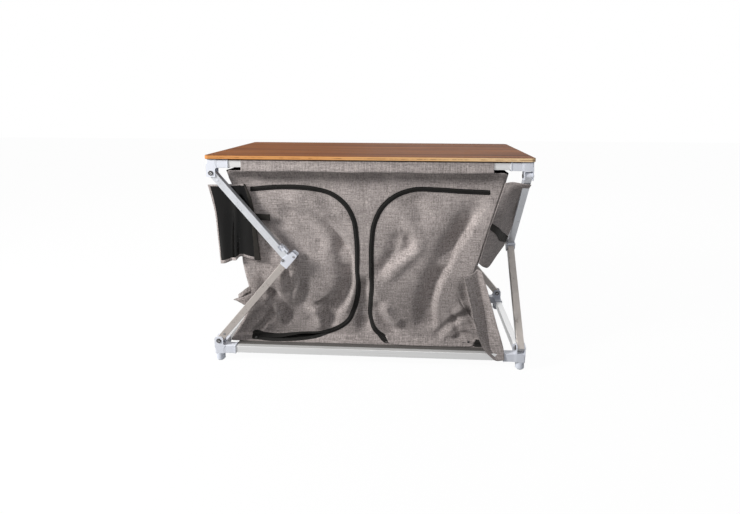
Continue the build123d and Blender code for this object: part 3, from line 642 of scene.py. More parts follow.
# Folds as valleys: points, depth, widths of the left and the right slope, and the shares of the length
# over which the ends fade, where they aren't a quarter each
GROOVES = [
    ([(-232, 540), (-176, 486), (-116, 430), (-78, 370), (-62, 301), (-64, 247), (-82, 195), (-112, 150),
      (-138, 104)], 17, 32, 14, (0.42, 0.15)),
    ([(-16, 290), (-14, 223), (-14, 156), (-16, 62)], 15, 24, 20),
    ([(-42, 300), (-41, 222), (-49, 162), (-76, 124)], 5, 14, 12),
    ([(372, 545), (333, 489), (298, 426), (268, 380), (239, 308), (214, 255), (200, 202), (197, 162),
      (206, 90)], 17, 38, 13, (0.3, 0.08)),
    ([(-364, 300), (-346, 255), (-315, 188), (-316, 130), (-318, 88)], 8, 24, 13, (0.4, 0.2)),
    ([(-276, 290), (-270, 243), (-258, 190), (-268, 130), (-280, 84)], 4, 24, 15, (0.4, 0.3)),
    ([(-345, 168), (-383, 122), (-430, 70)], 8, 10, 14),
    ([(-318, 150), (-350, 105), (-395, 62)], 8, 9, 12),
    ([(-353, 601), (-285, 598), (-205, 577)], 2, 12, 12),
    ([(-31, 612), (87, 611), (212, 610), (380, 606)], 2.4, 9, 9),
    ([(300, 292), (317, 220), (341, 130), (362, 76)], 9, 18, 7),
    ([(278, 237), (317, 152), (364, 79)], 1.2, 3.0, 3.0),
    ([(150, 560), (160, 480), (150, 430)], 3, 30, 30),
    ([(262, 180), (282, 120), (300, 80)], 5, 14, 8),
    ([(96, 440), (84, 380), (50, 320), (26, 270)], 5, 26, 14),
]
FOLD_DEPTH = 2.0

# How far from the hem, the upper edge and the side edges the folds fade, and what is left of them there
CALM_LOW, CALM_TOP, CALM_SIDE, CALM_LEAST = 22, 26, 80, 0.3
# How far the door cloth hangs back, what the belly adds below its height, and over what run
SET_BACK, BELLY_BACK, BELLY_HEIGHT, BELLY_RUN = 9.0, 20.0, 280, 170
# Limits of the folds: gap kept before the front plane, greatest depth, what the shelf takes off that, half
# its height and the run beside it, and how softly crests and valleys meet the limits
LEAST_BEHIND, DEEPEST, SHELF_ROOM, SHELF_HALF, SHELF_RUN = 0.3, 50, 23, 6, 50
CREST_ROUND, VALLEY_ROUND = 2.0, 3.0
# How far the side edges turn back, and over what width
SIDE_BACK, SIDE_WIDTH = 6.0, 10.0


def edge_at(table, z):
    """The value that a table of heights and values gives at a height."""
    return follow(table[:, 0], table[:, 1], z)


def folds_at(x, z):
    """Sum of the folds, with small uneven waves: products of sines along slanted directions."""
    relief = np.zeros(np.broadcast(x, z).shape)
    for points, height, width in STEP_FOLDS:
        relief += step_fold(x, z, points, height, width)
    for points, depth, left, right, *ends in GROOVES:
        relief += groove(x, z, points, depth, left, right, *ends)
    relief += wander(x, z, height=0.55, across=31, bend=1.7, slow=57, up=43, lean=120)
    relief += 0.28 * np.sin(x / 11.3 + z / 23.0) * np.sin(z / 17.0 - x / 71.0)
    return relief


def softly(value, width):
    """Zero below zero and the value above it, rounded over a width: width times log(1 + e to the value
    over the width)."""
    return width * np.logaddexp(0, value / width)


def front_at(x, z):
    """Depth of the cloth front: the flat front less what draws it forward under the sleeve, plus what sets
    it back, less the folds held softly between their limits, with sides that turn back by a square."""
    left, right = edge_at(LEFT_EDGE, z), edge_at(RIGHT_EDGE, z)
    side = np.minimum(x - left, right - x)
    calm = ease((z - HEM) / CALM_LOW) * ease((TOP - z) / CALM_TOP)
    calm = calm * (CALM_LEAST + (1 - CALM_LEAST) * ease(side / CALM_SIDE))
    turned_back = SIDE_BACK * (1 - np.clip(side / SIDE_WIDTH, 0, 1)) ** 2
    back = (SET_BACK + BELLY_BACK * ease((BELLY_HEIGHT - z) / BELLY_RUN)) * calm + 1.0
    relief = FOLD_DEPTH * folds_at(x, z) * calm
    most = back - LEAST_BEHIND
    relief = most - softly(most - relief, CREST_ROUND)
    shelf = 1 - ease((np.abs(z - SHELF) - SHELF_HALF) / SHELF_RUN)
    least = back - DEEPEST + SHELF_ROOM * shelf
    relief = least + softly(relief - least, VALLEY_ROUND)
    return FRONT - edge_at(FORWARD, z) + back + turned_back - relief


def at_front(xz, proud=0.0):
    """Points of the front from places in its plane, raised by a distance."""
    x, z = np.moveaxis(np.asarray(xz, float), -1, 0)
    return together(x, front_at(x, z) - proud, z)


# Middle lines of the two zips in the plane of the front, half the zip's width, and how far the cloth runs
# under its tapes
ZIP_STEPS = 420
ZIP_LEFT = even_run([
    (-372, 559), (-275, 567), (-215, 567), (-165, 561), (-112, 545), (-72, 513), (-48, 468), (-38, 404),
    (-37, 300), (-38, 206), (-49, 162), (-69, 121), (-111, 91), (-157, 76), (-223, 69), (-306, 64),
    (-386, 68),
], ZIP_STEPS)
ZIP_RIGHT = even_run([
    (374, 558), (300, 560), (215, 564), (139, 563), (88, 545), (44, 507), (18, 452), (10, 390), (9, 300),
    (9, 237), (4, 183), (3, 135), (16, 98), (48, 70), (100, 63), (180, 62), (300, 63), (392, 66),
], ZIP_STEPS)
ZIP_HALF = 8.0
ZIP_LAP = 2.2
# gape is half the opening between the tapes; over is one where the door's foot hangs over its zip
DOORS = {
    "left": dict(zip=ZIP_LEFT, side=-1, edge=LEFT_EDGE, centre=np.array([-205.0, 320.0]), gape=3.6, over=0),
    "right": dict(zip=ZIP_RIGHT, side=1, edge=RIGHT_EDGE, centre=np.array([195.0, 320.0]), gape=0.0, over=1),
}


def beside_run(run, offset):
    """A run in the plane moved sideways, positive to the left of its direction."""
    return run + offset * turned_left(np.gradient(run, axis=0))


def door_loop(door, trim):
    """Closed outline of a door: the zip moved in by a trim, and the sewn hinge, a little inside the
    cabinet edge and eased to the zip's ends."""
    turn = door["side"]
    trim = np.broadcast_to(trim, len(door["zip"]))
    rim = beside_run(door["zip"], turn * trim[:, None])
    first, last = door["zip"][0], door["zip"][-1]
    count, inside, ease_over = 90, 17, 30
    heights = np.linspace(last[1], first[1], count)
    hinge_x = edge_at(door["edge"], heights) - turn * inside
    meet = ease(np.minimum(heights - heights[0], heights[-1] - heights) / ease_over)
    straight = np.interp(heights, [last[1], first[1]], [last[0], first[0]])
    return np.concatenate([rim, together(straight + (hinge_x - straight) * meet, heights)])


def reach_of(loop, centre, angles):
    """Distance from the centre to a closed outline at each angle."""
    off = loop - centre
    turn = np.arctan2(off[:, 1], off[:, 0])
    order = np.argsort(turn)
    return np.interp(angles, turn[order], np.hypot(off[:, 0], off[:, 1])[order], period=2 * pi)


# Points along the parts of a half's outline: its edge, its ear, its upper and lower edge, the middle seam;
# and the places of its four corners among them
EDGE_POINTS, EAR_POINTS, LEVEL_POINTS, SEAM_POINTS = 220, 12, 160, 200
BORDER_CORNERS = np.cumsum([0, EDGE_POINTS + EAR_POINTS - 2, LEVEL_POINTS - 1, SEAM_POINTS - 1])


def half_border(door):
    """Closed outline of half the front, from the middle seam to the cabinet edge, with a rounded ear."""
    side = door["side"]
    ear_round = 14
    heights = np.linspace(HEM, TOP - ear_round, EDGE_POINTS)
    edge = together(edge_at(door["edge"], heights), heights)
    turn = np.linspace(0, pi / 2, EAR_POINTS)[1:]
    ear = edge[-1] + ear_round * together(side * (np.cos(turn) - 1), np.sin(turn))
    top = together(np.linspace(ear[-1, 0], MIDDLE, LEVEL_POINTS)[1:], TOP)
    inner = together(MIDDLE, np.linspace(TOP, HEM, SEAM_POINTS)[1:])
    low = together(np.linspace(MIDDLE, edge[0, 0], LEVEL_POINTS)[1:-1], HEM)
    return np.concatenate([edge, ear, top, inner, low])


# How far the right door's foot stands out where it hangs over its zip, how far the zip is sunk there, and
# the least width of a border
FOOT_OUT, ZIP_SUNK, LEAST_BORDER = 3.2, 1.6, 1.5


def over_zip(door, x, z):
    """How far a door's foot hangs over its zip: one over the lower run, fading at its ends."""
    left, left_run, right, right_run, high, high_run = 45, 30, 350, 20, 94, 16
    ends = ease((x - left) / left_run) * ease((right - x) / right_run)
    return door["over"] * ends * ease((high - z) / high_run)


def front_pieces():
    """A door and a border round it for each half: rings between a centre, the door's rim and the half's
    outline, at equal shares of the reach along each angle."""
    made = {}
    spokes, door_rings, border_rings, crowding = 400, 84, 30, 0.9

    def ringed(name, rings, proud=0.0, pole=False):
        """A piece from rings of places in the plane, which are its cut as well."""
        cut = np.concatenate([rings, rings[:, :1]], axis=1) * MM
        places = at_front(rings, proud)
        return grid_piece(name, places, cut, [MELANGE, COATING], "base", wrap=True, pole=pole)

    for name, door in DOORS.items():
        centre = door["centre"]
        border = half_border(door)
        corner_angles = [np.arctan2(*(border[k] - centre)[::-1]) for k in BORDER_CORNERS]
        even = np.linspace(-pi, pi, spokes, endpoint=False)
        angles = np.unique(np.concatenate([even, corner_angles]))[::-1]
        way = together(np.cos(angles), np.sin(angles))
        trim = (ZIP_HALF - ZIP_LAP) * (1 - 2 * over_zip(door, *door["zip"].T))
        door_reach = reach_of(door_loop(door, trim), centre, angles)
        hole_reach = reach_of(door_loop(door, ZIP_LAP - ZIP_HALF), centre, angles)
        outer_reach = reach_of(border, centre, angles)
        hole_reach = np.minimum(hole_reach, outer_reach - LEAST_BORDER)
        share = np.linspace(0, 1, door_rings) ** crowding
        sheet = centre + share[:, None, None] * (door_reach[:, None] * way)
        proud = FOOT_OUT * over_zip(door, sheet[..., 0], sheet[..., 1])
        made[f"door_{name}"] = ringed(f"door_{name}_cloth", sheet, proud, pole=True)
        share = np.linspace(0, 1, border_rings)
        ring = centre + (hole_reach + share[:, None] * (outer_reach - hole_reach))[..., None] * way
        made[f"border_{name}"] = ringed(f"front_border_{name}", ring)
    return made


front = front_pieces()


# Side and rear walls: how far from the hems folds fade, the share of a side over which they start and over
# which it reaches the rear edge, and the least sag with the height over which it waves
WALL_CALM = 35
SIDE_ENDS, TAPER, LEAST_SAG, SAG_STEP = 0.12, 1.4, 0.4, 30
# The rear: the share over which its folds start, how far it is set in, its share of the folds, and its sag
# with the height above the hem over which that starts
REAR_ENDS, REAR_SET, REAR_SHARE, REAR_SAG, REAR_CALM = 0.06, 4, 0.8, 5, 90

SAG = np.array([(50, 3), (120, 10), (200, 18), (320, 24), (430, 18), (540, 9), (600, 4), (640, 2)], float)
WALL_FOLDS = {
    -1: [
        ([(-190, 560), (-60, 470), (60, 420), (190, 360)], 7, 24),
        ([(190, 520), (90, 400), (-40, 300), (-190, 220)], -6, 26),
        ([(-190, 120), (-40, 190), (80, 210), (190, 180)], 6, 20),
        ([(-150, 330), (-60, 240), (-20, 120)], 5, 16),
        ([(150, 260), (80, 160), (60, 80)], 4, 14),
    ],
    1: [
        ([(190, 560), (40, 480), (-90, 400), (-190, 330)], 7, 24),
        ([(-190, 500), (-60, 380), (60, 290), (190, 230)], -6, 26),
        ([(190, 110), (40, 180), (-90, 200), (-190, 160)], 6, 20),
        ([(140, 330), (60, 230), (30, 110)], 5, 16),
        ([(-150, 260), (-90, 160), (-70, 80)], 4, 14),
    ],
    0: [
        ([(-380, 560), (-200, 440), (-60, 380), (60, 360)], 7, 26),
        ([(380, 560), (240, 430), (120, 330), (60, 200)], 8, 26),
        ([(-300, 120), (-160, 220), (-20, 250), (140, 230)], 7, 22),
        ([(-360, 330), (-260, 220), (-200, 90)], 6, 18),
        ([(320, 300), (260, 200), (250, 90)], -6, 18),
        ([(-120, 520), (40, 470), (220, 500)], 5, 20),
    ],
}


def wall_relief(along, z, side):
    """Folds of a side or rear wall, calm at its hems."""
    relief = np.zeros(np.broadcast(along, z).shape)
    for points, height, width in WALL_FOLDS[side]:
        relief += step_fold(along, z, points, height, width)
    relief += wander(along, z, height=0.9, across=37, bend=1.3, slow=61, up=39, lean=140)
    return relief * ease((z - HEM) / WALL_CALM) * ease((TOP - z) / WALL_CALM)


def walls():
    """One sheet round the left side, the rear and the right side, its columns spaced along the plan and
    its rows up the height. A side runs straight back from the front's edge, eased to the rear edge, and
    sags inwards by one less the square of its share; the rear sags by a half sine."""
    rows, side_columns, rear_columns = 150, 96, 200
    z = np.linspace(HEM, TOP, rows)[:, None]
    rear_edge = edge_at(REAR_EDGE, z)
    rear_y = -FRONT + edge_at(FORWARD, z)
    u = np.linspace(-1, 1, side_columns)[None, :]
    ends = ease((1 - np.abs(u)) / SIDE_ENDS)
    sides = []
    for side, table in ((-1, LEFT_EDGE), (1, RIGHT_EDGE)):
        edge = edge_at(table, z)
        front_y = front_at(edge, z)
        y = front_y + (rear_y - front_y) * (u + 1) / 2
        inward = edge_at(SAG, z) * (1 - u * u) + wall_relief(y, z, side) * ends
        line = edge + (side * rear_edge - edge) * ease((u + 1) / TAPER)
        x = line - side * np.maximum(inward, LEAST_SAG * np.abs(np.sin(z / SAG_STEP)))
        sides.append(together(x, y, z))
    t = np.linspace(0, 1, rear_columns)[None, 1:-1]
    x = rear_edge * (2 * t - 1)
    ends = ease(np.minimum(t, 1 - t) / REAR_ENDS)
    sag = REAR_SAG * np.sin(pi * t) * ease((z - HEM) / REAR_CALM)
    y = rear_y - REAR_SET * ends - wall_relief(x, z, 0) * ends * REAR_SHARE - sag
    return np.concatenate([sides[0], together(x, y, z), sides[1][:, ::-1]], axis=1)[:, ::-1]


wall_sheet = laid("cabinet_walls", walls(), [MELANGE, COATING])
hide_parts("cabinet")
for name in ("left", "right"):
    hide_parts(f"door_{name}")


# Partition

def partition():
    """The middle wall of the cabinet, a slack sheet between the front and the rear: its place across is
    the middle seam with two slanted sine waves."""
    from_hem, from_top, from_front, rear = 2, 12, 4, 200
    rows, columns = 60, 50
    z = np.linspace(HEM + from_hem, TOP - from_top, rows)[:, None]
    first = front_at(MIDDLE, z) + from_front
    y = first + (rear - first) * np.linspace(0, 1, columns)[None, :]
    x = MIDDLE + 5 * np.sin(z / 46) * np.cos(y / 150) + 2 * np.sin(y / 33 + z / 70)
    return together(x, y, z)


middle_wall = laid("middle_wall", partition(), [COATING, COATING])


# Zips

# Across a tape, from its hem to its coil: place, height, and how much of the height a tooth takes off
TAPE_OFFSETS = np.array([ZIP_HALF, ZIP_HALF - 0.4, ZIP_HALF - 1.2, 3.6, 2.6, 2.0, 1.2, 0.3])
TAPE_HEIGHTS = np.array([0.1, 0.75, 0.95, 0.9, 1.1, 2.1, 2.5, 2.2])
TAPE_TEETH = np.array([0, 0, 0, 0, 0.1, 0.45, 0.55, 0.4])
# Half the run from tooth to tooth
TOOTH_STEP = 1.3
# Where along the zip its tapes gape most, over what share, and how much of the gape the hems take
GAPE_MIDDLE, GAPE_WIDTH, GAPE_HEM = 0.845, 0.045, 0.35


def zip_pieces(name, door):
    """Two tapes with a coil between them. Each tape is a profile across the run: a raised hem, a flat,
    and a half coil whose height waves once for each tooth. They gape by a bell curve along the low run."""
    length = lengths(door["zip"])[-1]
    count = int(length / TOOTH_STEP)
    at = np.linspace(0, length, count)
    line = walk(door["zip"], at)
    side_way = turned_left(np.gradient(line, axis=0))[:, None, :]
    gape = door["gape"] * np.exp(-(((at / length - GAPE_MIDDLE) / GAPE_WIDTH) ** 2))
    offsets = TAPE_OFFSETS + gape[:, None] * np.linspace(GAPE_HEM, 1, len(TAPE_OFFSETS))
    tooth = 0.5 + 0.5 * np.cos(np.arange(count) * pi)
    proud = TAPE_HEIGHTS - TAPE_TEETH * tooth[:, None]
    flat = together(at[:, None], TAPE_OFFSETS[None, :]) * MM
    for half, word in ((1, "in"), (-1, "out")):
        plane = line[:, None, :] + half * offsets[..., None] * side_way
        sunk = ZIP_SUNK * over_zip(door, plane[..., 0], plane[..., 1])
        places = at_front(plane, proud - sunk)
        grid = turned_out(places)
        cut = flat if grid is places else flat[:, ::-1]
        piece = grid_piece(f"zip_{name}_{word}", grid, cut, [ZIP_TAPE, ZIP_TAPE], "base")
        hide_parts(f"zip_{name}")
        yield piece


zips = [piece for name, door in DOORS.items() for piece in zip_pieces(name, door)]


# Rail sleeves

# The ends along the rail; where above the CAD sleeve's foot the lip starts to hang slack, and over what
# height; points round the rail and along it
SLEEVE_LEFT, SLEEVE_RIGHT = -387.0, 378.5
LIP_ABOVE, LIP_RUN = 8, 14
SLEEVE_ROUND, SLEEVE_STEPS = 72, 260


def sleeve_profile(side):
    """Closed line round a top rail: snug on its top and front, hanging as a soft lip below."""
    y = abs(rail_low[1] + rail_high[1]) / 2
    z = (rail_low[2] + rail_high[2]) / 2
    half = 11.0
    grip = half + 1.5
    run = even_run([
        (-grip + 1, grip), (0, grip + 0.1), (grip - 1, grip), (grip, grip - 1.2), (grip + 0.1, 0),
        (grip - 0.6, -half - 0.5), (grip - 4, -grip - 3.5), (0, -grip - 7), (-6, -grip - 10.6),
        (-10.2, -grip - 11.6), (-grip - 0.4, -grip - 9.5), (-grip - 1.4, -half), (-grip - 0.2, 0),
        (-grip, grip - 1.2), (-grip + 1, grip),
    ], SLEEVE_ROUND)
    return together(side * (-y + run[:, 0]), z + run[:, 1])


def sleeve(side, name):
    """The sleeve profile carried along the rail, its hanging lip rippled by sines along its length."""
    profile = sleeve_profile(side)
    x = np.linspace(SLEEVE_LEFT, SLEEVE_RIGHT, SLEEVE_STEPS)[:, None]
    slack = ease((SLEEVE_FOOT + LIP_ABOVE - profile[:, 1]) / LIP_RUN)
    z = profile[:, 1] + slack * (0.9 * np.sin(x / 46) + 0.5 * np.sin(x / 19 + 1))
    y = profile[:, 0] + side * slack * 0.7 * np.sin(x / 33 + 2)
    return laid(name, together(x, y, z)[:, ::-side], [MELANGE, COATING], body="top")


sleeves = [sleeve(1, "sleeve_front"), sleeve(-1, "sleeve_rear")]
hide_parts("rail_sleeves")


# Flaps, each a net of points from its upper to its lower edge

FLAP_ROWS = 60


def flap(name, net, node, columns=46, finishes=(MELANGE, COATING)):
    """A loose flap: the smooth surface through its net of points."""
    return laid(name, turned_out(spread(net, FLAP_ROWS, columns)), finishes, node=node)


def strip(name, across, down, lift, finish, rows, columns):
    """A strip of the upper left flap's surface between two shares of each way, lifted to the front."""
    places = turned_out(spread(UPPER_LEFT, rows, columns, across, down) - (0, lift, 0))
    return laid(name, places, [finish, finish])


UPPER_LEFT = [
    [(-504, -216.5, 574), (-470, -218.5, 575), (-440, -215.0, 576), (-418, -218.0, 577), (-402, -215.0, 578),
     (-393, -216.5, 578), (-385, -216.5, 578)],
    [(-493, -216.5, 528), (-462, -219.0, 528), (-436, -214.0, 528), (-417, -218.8, 528), (-404, -213.5, 529),
     (-384, -216.5, 530), (-367, -216.5, 531)],
    [(-484, -216.0, 476), (-458, -220.5, 476), (-434, -213.0, 476), (-417, -219.0, 476), (-404, -213.0, 476),
     (-378, -216.5, 476), (-357, -216.5, 476)],
    [(-479, -215.5, 400), (-458, -223.5, 400), (-437, -213.0, 402), (-420, -224.0, 404), (-406, -213.0, 408),
     (-376, -217.5, 404), (-350, -216.5, 400)],
    [(-474, -215.5, 318), (-456, -224.0, 322), (-438, -214.0, 328), (-420, -226.0, 333), (-408, -212.5, 342),
     (-375, -217.5, 336), (-343, -216.5, 331)],
]
LOWER_LEFT = [
    [(-424, -209.0, 213), (-412, -212.0, 222), (-400, -211.0, 232), (-384, -205.0, 242)],
    [(-421, -212.0, 199), (-411, -214.5, 206), (-401, -213.5, 215), (-382, -206.0, 226)],
    [(-417, -201.0, 202), (-408, -199.0, 207), (-398, -199.0, 213), (-379, -202.0, 218)],
    [(-438, -213.5, 197), (-421, -215.5, 199), (-404, -214.0, 205), (-376, -206.0, 212)],
    [(-431, -210.0, 192), (-415, -213.0, 185), (-401, -213.0, 179), (-370, -205.0, 186)],
]
upper_left = flap("flap_front_left_upper", UPPER_LEFT, "flap_fl_upper", finishes=(COATING, MELANGE))
lower_left = flap("flap_front_left_lower", LOWER_LEFT, "flap_fl_lower", columns=40)
hems = [
    strip("flap_hem_top", (0, 0.9), (0, 0.03), 0.9, MELANGE, 6, 40),
    strip("flap_hem_left", (0, 0.035), (0, 1), 0.9, MELANGE, 50, 6),
    strip("flap_hem_low", (0, 0.9), (0.968, 1), 0.9, MELANGE, 6, 40),
    strip("flap_hook_tape", (0.9, 1), (0, 1), 1.4, HOOK_TAPE, 50, 8),
]

WRAP = [
    [(417, -214.5, 590), (438, -219.5, 594), (456, -223.5, 592), (472, -226.5, 589), (493, -227.5, 587)],
    [(398, -214.5, 522), (428, -202.0, 524), (448, -184.0, 528), (468, -167.0, 530), (484, -160.0, 531)],
    [(373, -214.5, 436), (404, -186.0, 436), (430, -146.0, 438), (458, -102.0, 440), (472, -96.0, 440)],
    [(346, -214.5, 335), (364, -190.0, 316), (386, -156.0, 305), (420, -100.0, 326), (450, -62.0, 350)],
]
upper_right = flap("flap_front_right_upper", WRAP, "flap_fr_upper")
CROSSING = [
    [(299, -232, 297), (316, -226, 301), (332, -219, 306), (341, -216, 316), (355, -225, 312)],
    [(315, -236, 235), (332, -228, 236), (348, -219, 238), (357, -216, 240), (377, -229, 240)],
    [(335, -240, 150), (352, -231, 149), (368, -222, 149), (376, -219, 150), (403, -235, 150)],
    [(362, -244, 72), (376, -240, 70), (384, -236, 68), (390, -235, 68), (425, -244, 76)],
    [(397, -248.0, 34), (404, -247.4, 31), (408, -246.8, 30), (412, -246.6, 30), (430, -248.2, 34)],
]
lower_right = flap("flap_front_right_lower", CROSSING, "flap_fr_lower")


# Webbing straps: points along a straight and a slanting one, points across, and rows of the net below

STRAP_STEPS, BAND_STEPS, STRAP_THREADS, BAND_ROWS = 40, 60, 9, 200


def strap(name, places, node):
    """A strap from its grid of places, which stands for a CAD node."""
    return laid(name, turned_out(places), [WEBBING, WEBBING], node=node)


def webbing(name, line, width, node):
    """A strap: an upright cross line carried along a smooth run of points."""
    run = even_run(line, STRAP_STEPS)[:, None, :]
    upright = np.linspace(-0.5, 0.5, STRAP_THREADS)[:, None] * width * np.array((0, 0, 1.0))
    return strap(name, run + upright, node)


def band(name, net, start, end, half, lift, node):
    """A strap laid slanting across a flap's net: its middle runs from one share down the flap at the near
    edge to another at the far edge, and it stands off the flap by a lift along the crossed slopes."""
    dense = spread(net, BAND_ROWS, BAND_STEPS)
    rows = np.linspace(0, 1, BAND_ROWS)
    down = np.linspace(start, end, BAND_STEPS) + np.linspace(-half, half, STRAP_THREADS)[:, None]
    places = np.empty((*down.shape, 3))
    for column, axis in np.ndindex(BAND_STEPS, 3):
        places[:, column, axis] = np.interp(down[:, column], rows, dense[:, column, axis])
    outward = np.cross(np.gradient(places, axis=1), np.gradient(places, axis=0))
    outward /= np.linalg.norm(outward, axis=2)[..., None]
    outward *= -np.sign(outward[..., 1:2])
    return strap(name, places + lift * outward, node)


LEFT_STRAP = [(-392, -219.3, 475), (-350, -218.9, 474), (-308, -218.6, 472)]
straps = [
    webbing("strap_front_left", LEFT_STRAP, 20, "strap_fl"),
    band("strap_front_right", WRAP, 0.60, 0.90, 0.036, 1.6, "strap_fr"),
]


# Small fittings. A crown is the rolled rim of a rivet, in rows of radius and height: dark steel as far as
# CROWN_DARK, plated steel from there on

pins_low, pins_high = (np.array(corner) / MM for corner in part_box("base_pivot_pins"))
top_low, top_high = (np.array(corner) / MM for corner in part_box("top_pivot_pins"))
PIN_OUT = 15.2
PIN_X = pins_high[0] - PIN_OUT
PIN_Y = pins_high[1] - PIN_OUT
CROWN = np.array([
    (7.3, 0.0), (7.4, 0.5), (6.9, 1.1), (5.9, 1.4), (4.8, 1.3), (4.1, 0.8), (3.9, 0.2), (2.4, 0.2),
    (1.2, 0.3),
])
CROWN_DARK = 6
CROWN_POINTS = 28


def joined(name, grids, finishes, body, light_from=None):
    """Closed rings of points joined row by row in one mesh, a flat face over each last ring. Rows from
    light_from on take the second finish."""
    points, faces, kinds = [], [], []
    for grid in grids:
        rows, columns = grid.shape[:2]
        first = sum(len(part) for part in points)
        number = first + np.arange(rows * columns).reshape(rows, columns)
        beyond = np.roll(number, -1, axis=1)
        quads = together(number[:-1], number[1:], beyond[1:], beyond[:-1])
        faces += quads.reshape(-1, 4).tolist() + [number[-1].tolist()]
        light = np.arange(rows - 1) >= (rows if light_from is None else light_from)
        kinds += np.repeat(light, columns).astype(int).tolist() + [int(light_from is not None)]
        points.append(grid.reshape(-1, 3))
    return new_piece(name, np.concatenate(points), faces, None, finishes, body, kinds)


def crown(centre, outward):
    """The rolled rim of a hollow rivet: a profile of radius and height turned round the pin."""
    outward = np.asarray(outward, float)
    across = np.cross((0, 0, 1), outward)
    turn = np.linspace(0, 2 * pi, CROWN_POINTS, endpoint=False)
    ring = np.cos(turn)[:, None] * across + np.sin(turn)[:, None] * np.array((0, 0, 1.0))
    radius, height = CROWN.T[:, :, None, None]
    return np.asarray(centre) + radius * ring + height * outward


def crowns(name, height, body):
    """Rims on both ends of the four pivots of a frame."""
    grids = []
    for x, y, way in ((-1, -1, (0, 1, 0)), (1, -1, (1, 0, 0)), (1, 1, (0, 1, 0)), (-1, 1, (1, 0, 0))):
        for end in (-1, 1):
            outward = end * np.array(way, float)
            grids.append(crown(np.array([x * PIN_X, y * PIN_Y, height]) + PIN_OUT * outward, outward))
    return joined(name, grids, [DARK_STEEL, STEEL], body, CROWN_DARK)


crowns("pivot_crowns_base", (pins_low[2] + pins_high[2]) / 2, "base")
crowns("pivot_crowns_top", (top_low[2] + top_high[2]) / 2, "top")


def pebble(centre, half, lean):
    """Rounded block: sines and cosines of two angles, each raised to a power with its sign kept, turned in
    the plane of the front by a lean."""
    power, open_pole, rows, columns = 0.55, 0.06, 14, 24
    raised = lambda a: np.sign(a) * np.abs(a) ** power
    v = np.linspace(-pi / 2 + open_pole, pi / 2 - open_pole, rows)[:, None]
    u = np.linspace(0, 2 * pi, columns, endpoint=False)[None, :]
    x = half[0] * raised(np.cos(v)) * raised(np.cos(u))
    z = half[2] * raised(np.cos(v)) * raised(np.sin(u))
    y = half[1] * raised(np.sin(v))
    places = together(x * cos(lean) - z * sin(lean), y, x * sin(lean) + z * cos(lean))
    return (np.asarray(centre) + places)[::-1]


def slider(name, at, lean):
    """A zip slider on its coil, with its bridge and its pull hanging."""
    raised, across, out, down = 3.2, 11.0, 2.2, 13.0
    body = at_front(at, raised)
    hung = body - np.array([across * sin(lean), out, down * abs(cos(lean))])
    grids = [
        pebble(body, (4.6, 1.7, 3.6), lean),
        pebble(body - np.array([0, 2.0, 0]), (1.3, 1.4, 3.0), lean),
        pebble(hung, (2.6, 0.7, 9.5), lean),
    ]
    return joined(name, grids, [DARK_STEEL], "base")


sliders = [
    slider("zip_slider_left", (-371, 63), radians(58)),
    slider("zip_slider_right", (322, 66), radians(78)),
]


# Distance from stitch to stitch, the length of one and the run kept free at both ends; its four cross
# sections: share, half width, rise; how far its sides stand out and its foot is sunk
STITCH_GAP, STITCH_LENGTH, STITCH_FREE = 4.6, 3.1, 2.0
STITCH_SHARES = np.array([0.0, 0.22, 0.78, 1.0])
STITCH_HALVES = np.array([0.12, 0.38, 0.38, 0.12])
STITCH_RISES = np.array([0.1, 0.55, 0.55, 0.1])
STITCH_OUT, STITCH_SUNK = 0.1, 0.5


def stitches(name, runs):
    """Rows of stitches standing out of the cloth: short tapered threads with four sides, one after another
    along each run in the plane of the front."""
    threads = []
    for run in runs:
        last = lengths(run)[-1] - STITCH_LENGTH - STITCH_FREE
        begin = np.arange(STITCH_FREE, last, STITCH_GAP)
        threads.append(walk(run, begin[:, None] + STITCH_LENGTH * STITCH_SHARES))
    flat = np.concatenate(threads)
    across = STITCH_HALVES[:, None] * turned_left(flat[:, -1:] - flat[:, :1])
    left, right = (at_front(flat + side * across, STITCH_OUT) for side in (1, -1))
    crest = at_front(flat, STITCH_OUT + STITCH_RISES)
    foot = at_front(flat, -STITCH_SUNK)
    rings = np.stack([left, crest, right, foot], axis=2)
    number = np.arange(rings[..., 0].size).reshape(rings.shape[:3])
    beyond = np.roll(number, -1, axis=2)
    quads = together(number[:, :-1], number[:, 1:], beyond[:, 1:], beyond[:, :-1]).reshape(-1, 4)
    faces = np.concatenate([quads, number[:, 0], number[:, -1, ::-1]])
    cut = np.tile(np.array([(0, 0), (3, 0), (3, 1), (0, 1)]) * MM, (len(faces), 1))
    return new_piece(name, rings.reshape(-1, 3), faces, cut, [THREAD], "base")


def seam_runs():
    """The sewn lines of the front: on both sides of each zip, on both sides of the middle, and the hem."""
    beside_tape, beside_middle, above_hem, hem_half, count = ZIP_HALF + 2.6, 2.5, 7, 372, 300
    from_hem, from_top = 6, 10
    runs = [beside_run(door["zip"], side * beside_tape) for door in DOORS.values() for side in (1, -1)]
    heights = np.linspace(HEM + from_hem, TOP - from_top, count)
    runs += [together(MIDDLE + side * beside_middle, heights) for side in (-1, 1)]
    return runs + [together(np.linspace(-hem_half, hem_half, count), HEM + above_hem)]


for piece in (stitches("front_stitches", seam_runs()), *sliders):
    hang(piece)

CLOTH, TAPE = 1.0, 0.9
cloths = [*front.values(), wall_sheet, middle_wall, upper_left, lower_left, *hems, upper_right, lower_right]
for pieces, thickness in ((cloths, CLOTH), ([*zips, *straps], TAPE)):
    for piece in pieces:
        hang(piece)
        thicken(piece, thickness)
for piece in sleeves:
    thicken(piece, CLOTH)


# The stand-in room: floor, light and camera

def seen_rays(tree):
    """One for the rays that see plain white, which are the camera's, mirrored and passed ones, else none."""
    path = tree.node("LightPath", {})
    seen = path.outputs["Is Camera Ray"]
    for kind in ("Is Glossy Ray", "Is Transmission Ray"):
        seen = tree.sums("MAXIMUM", seen, path.outputs[kind])
    return seen


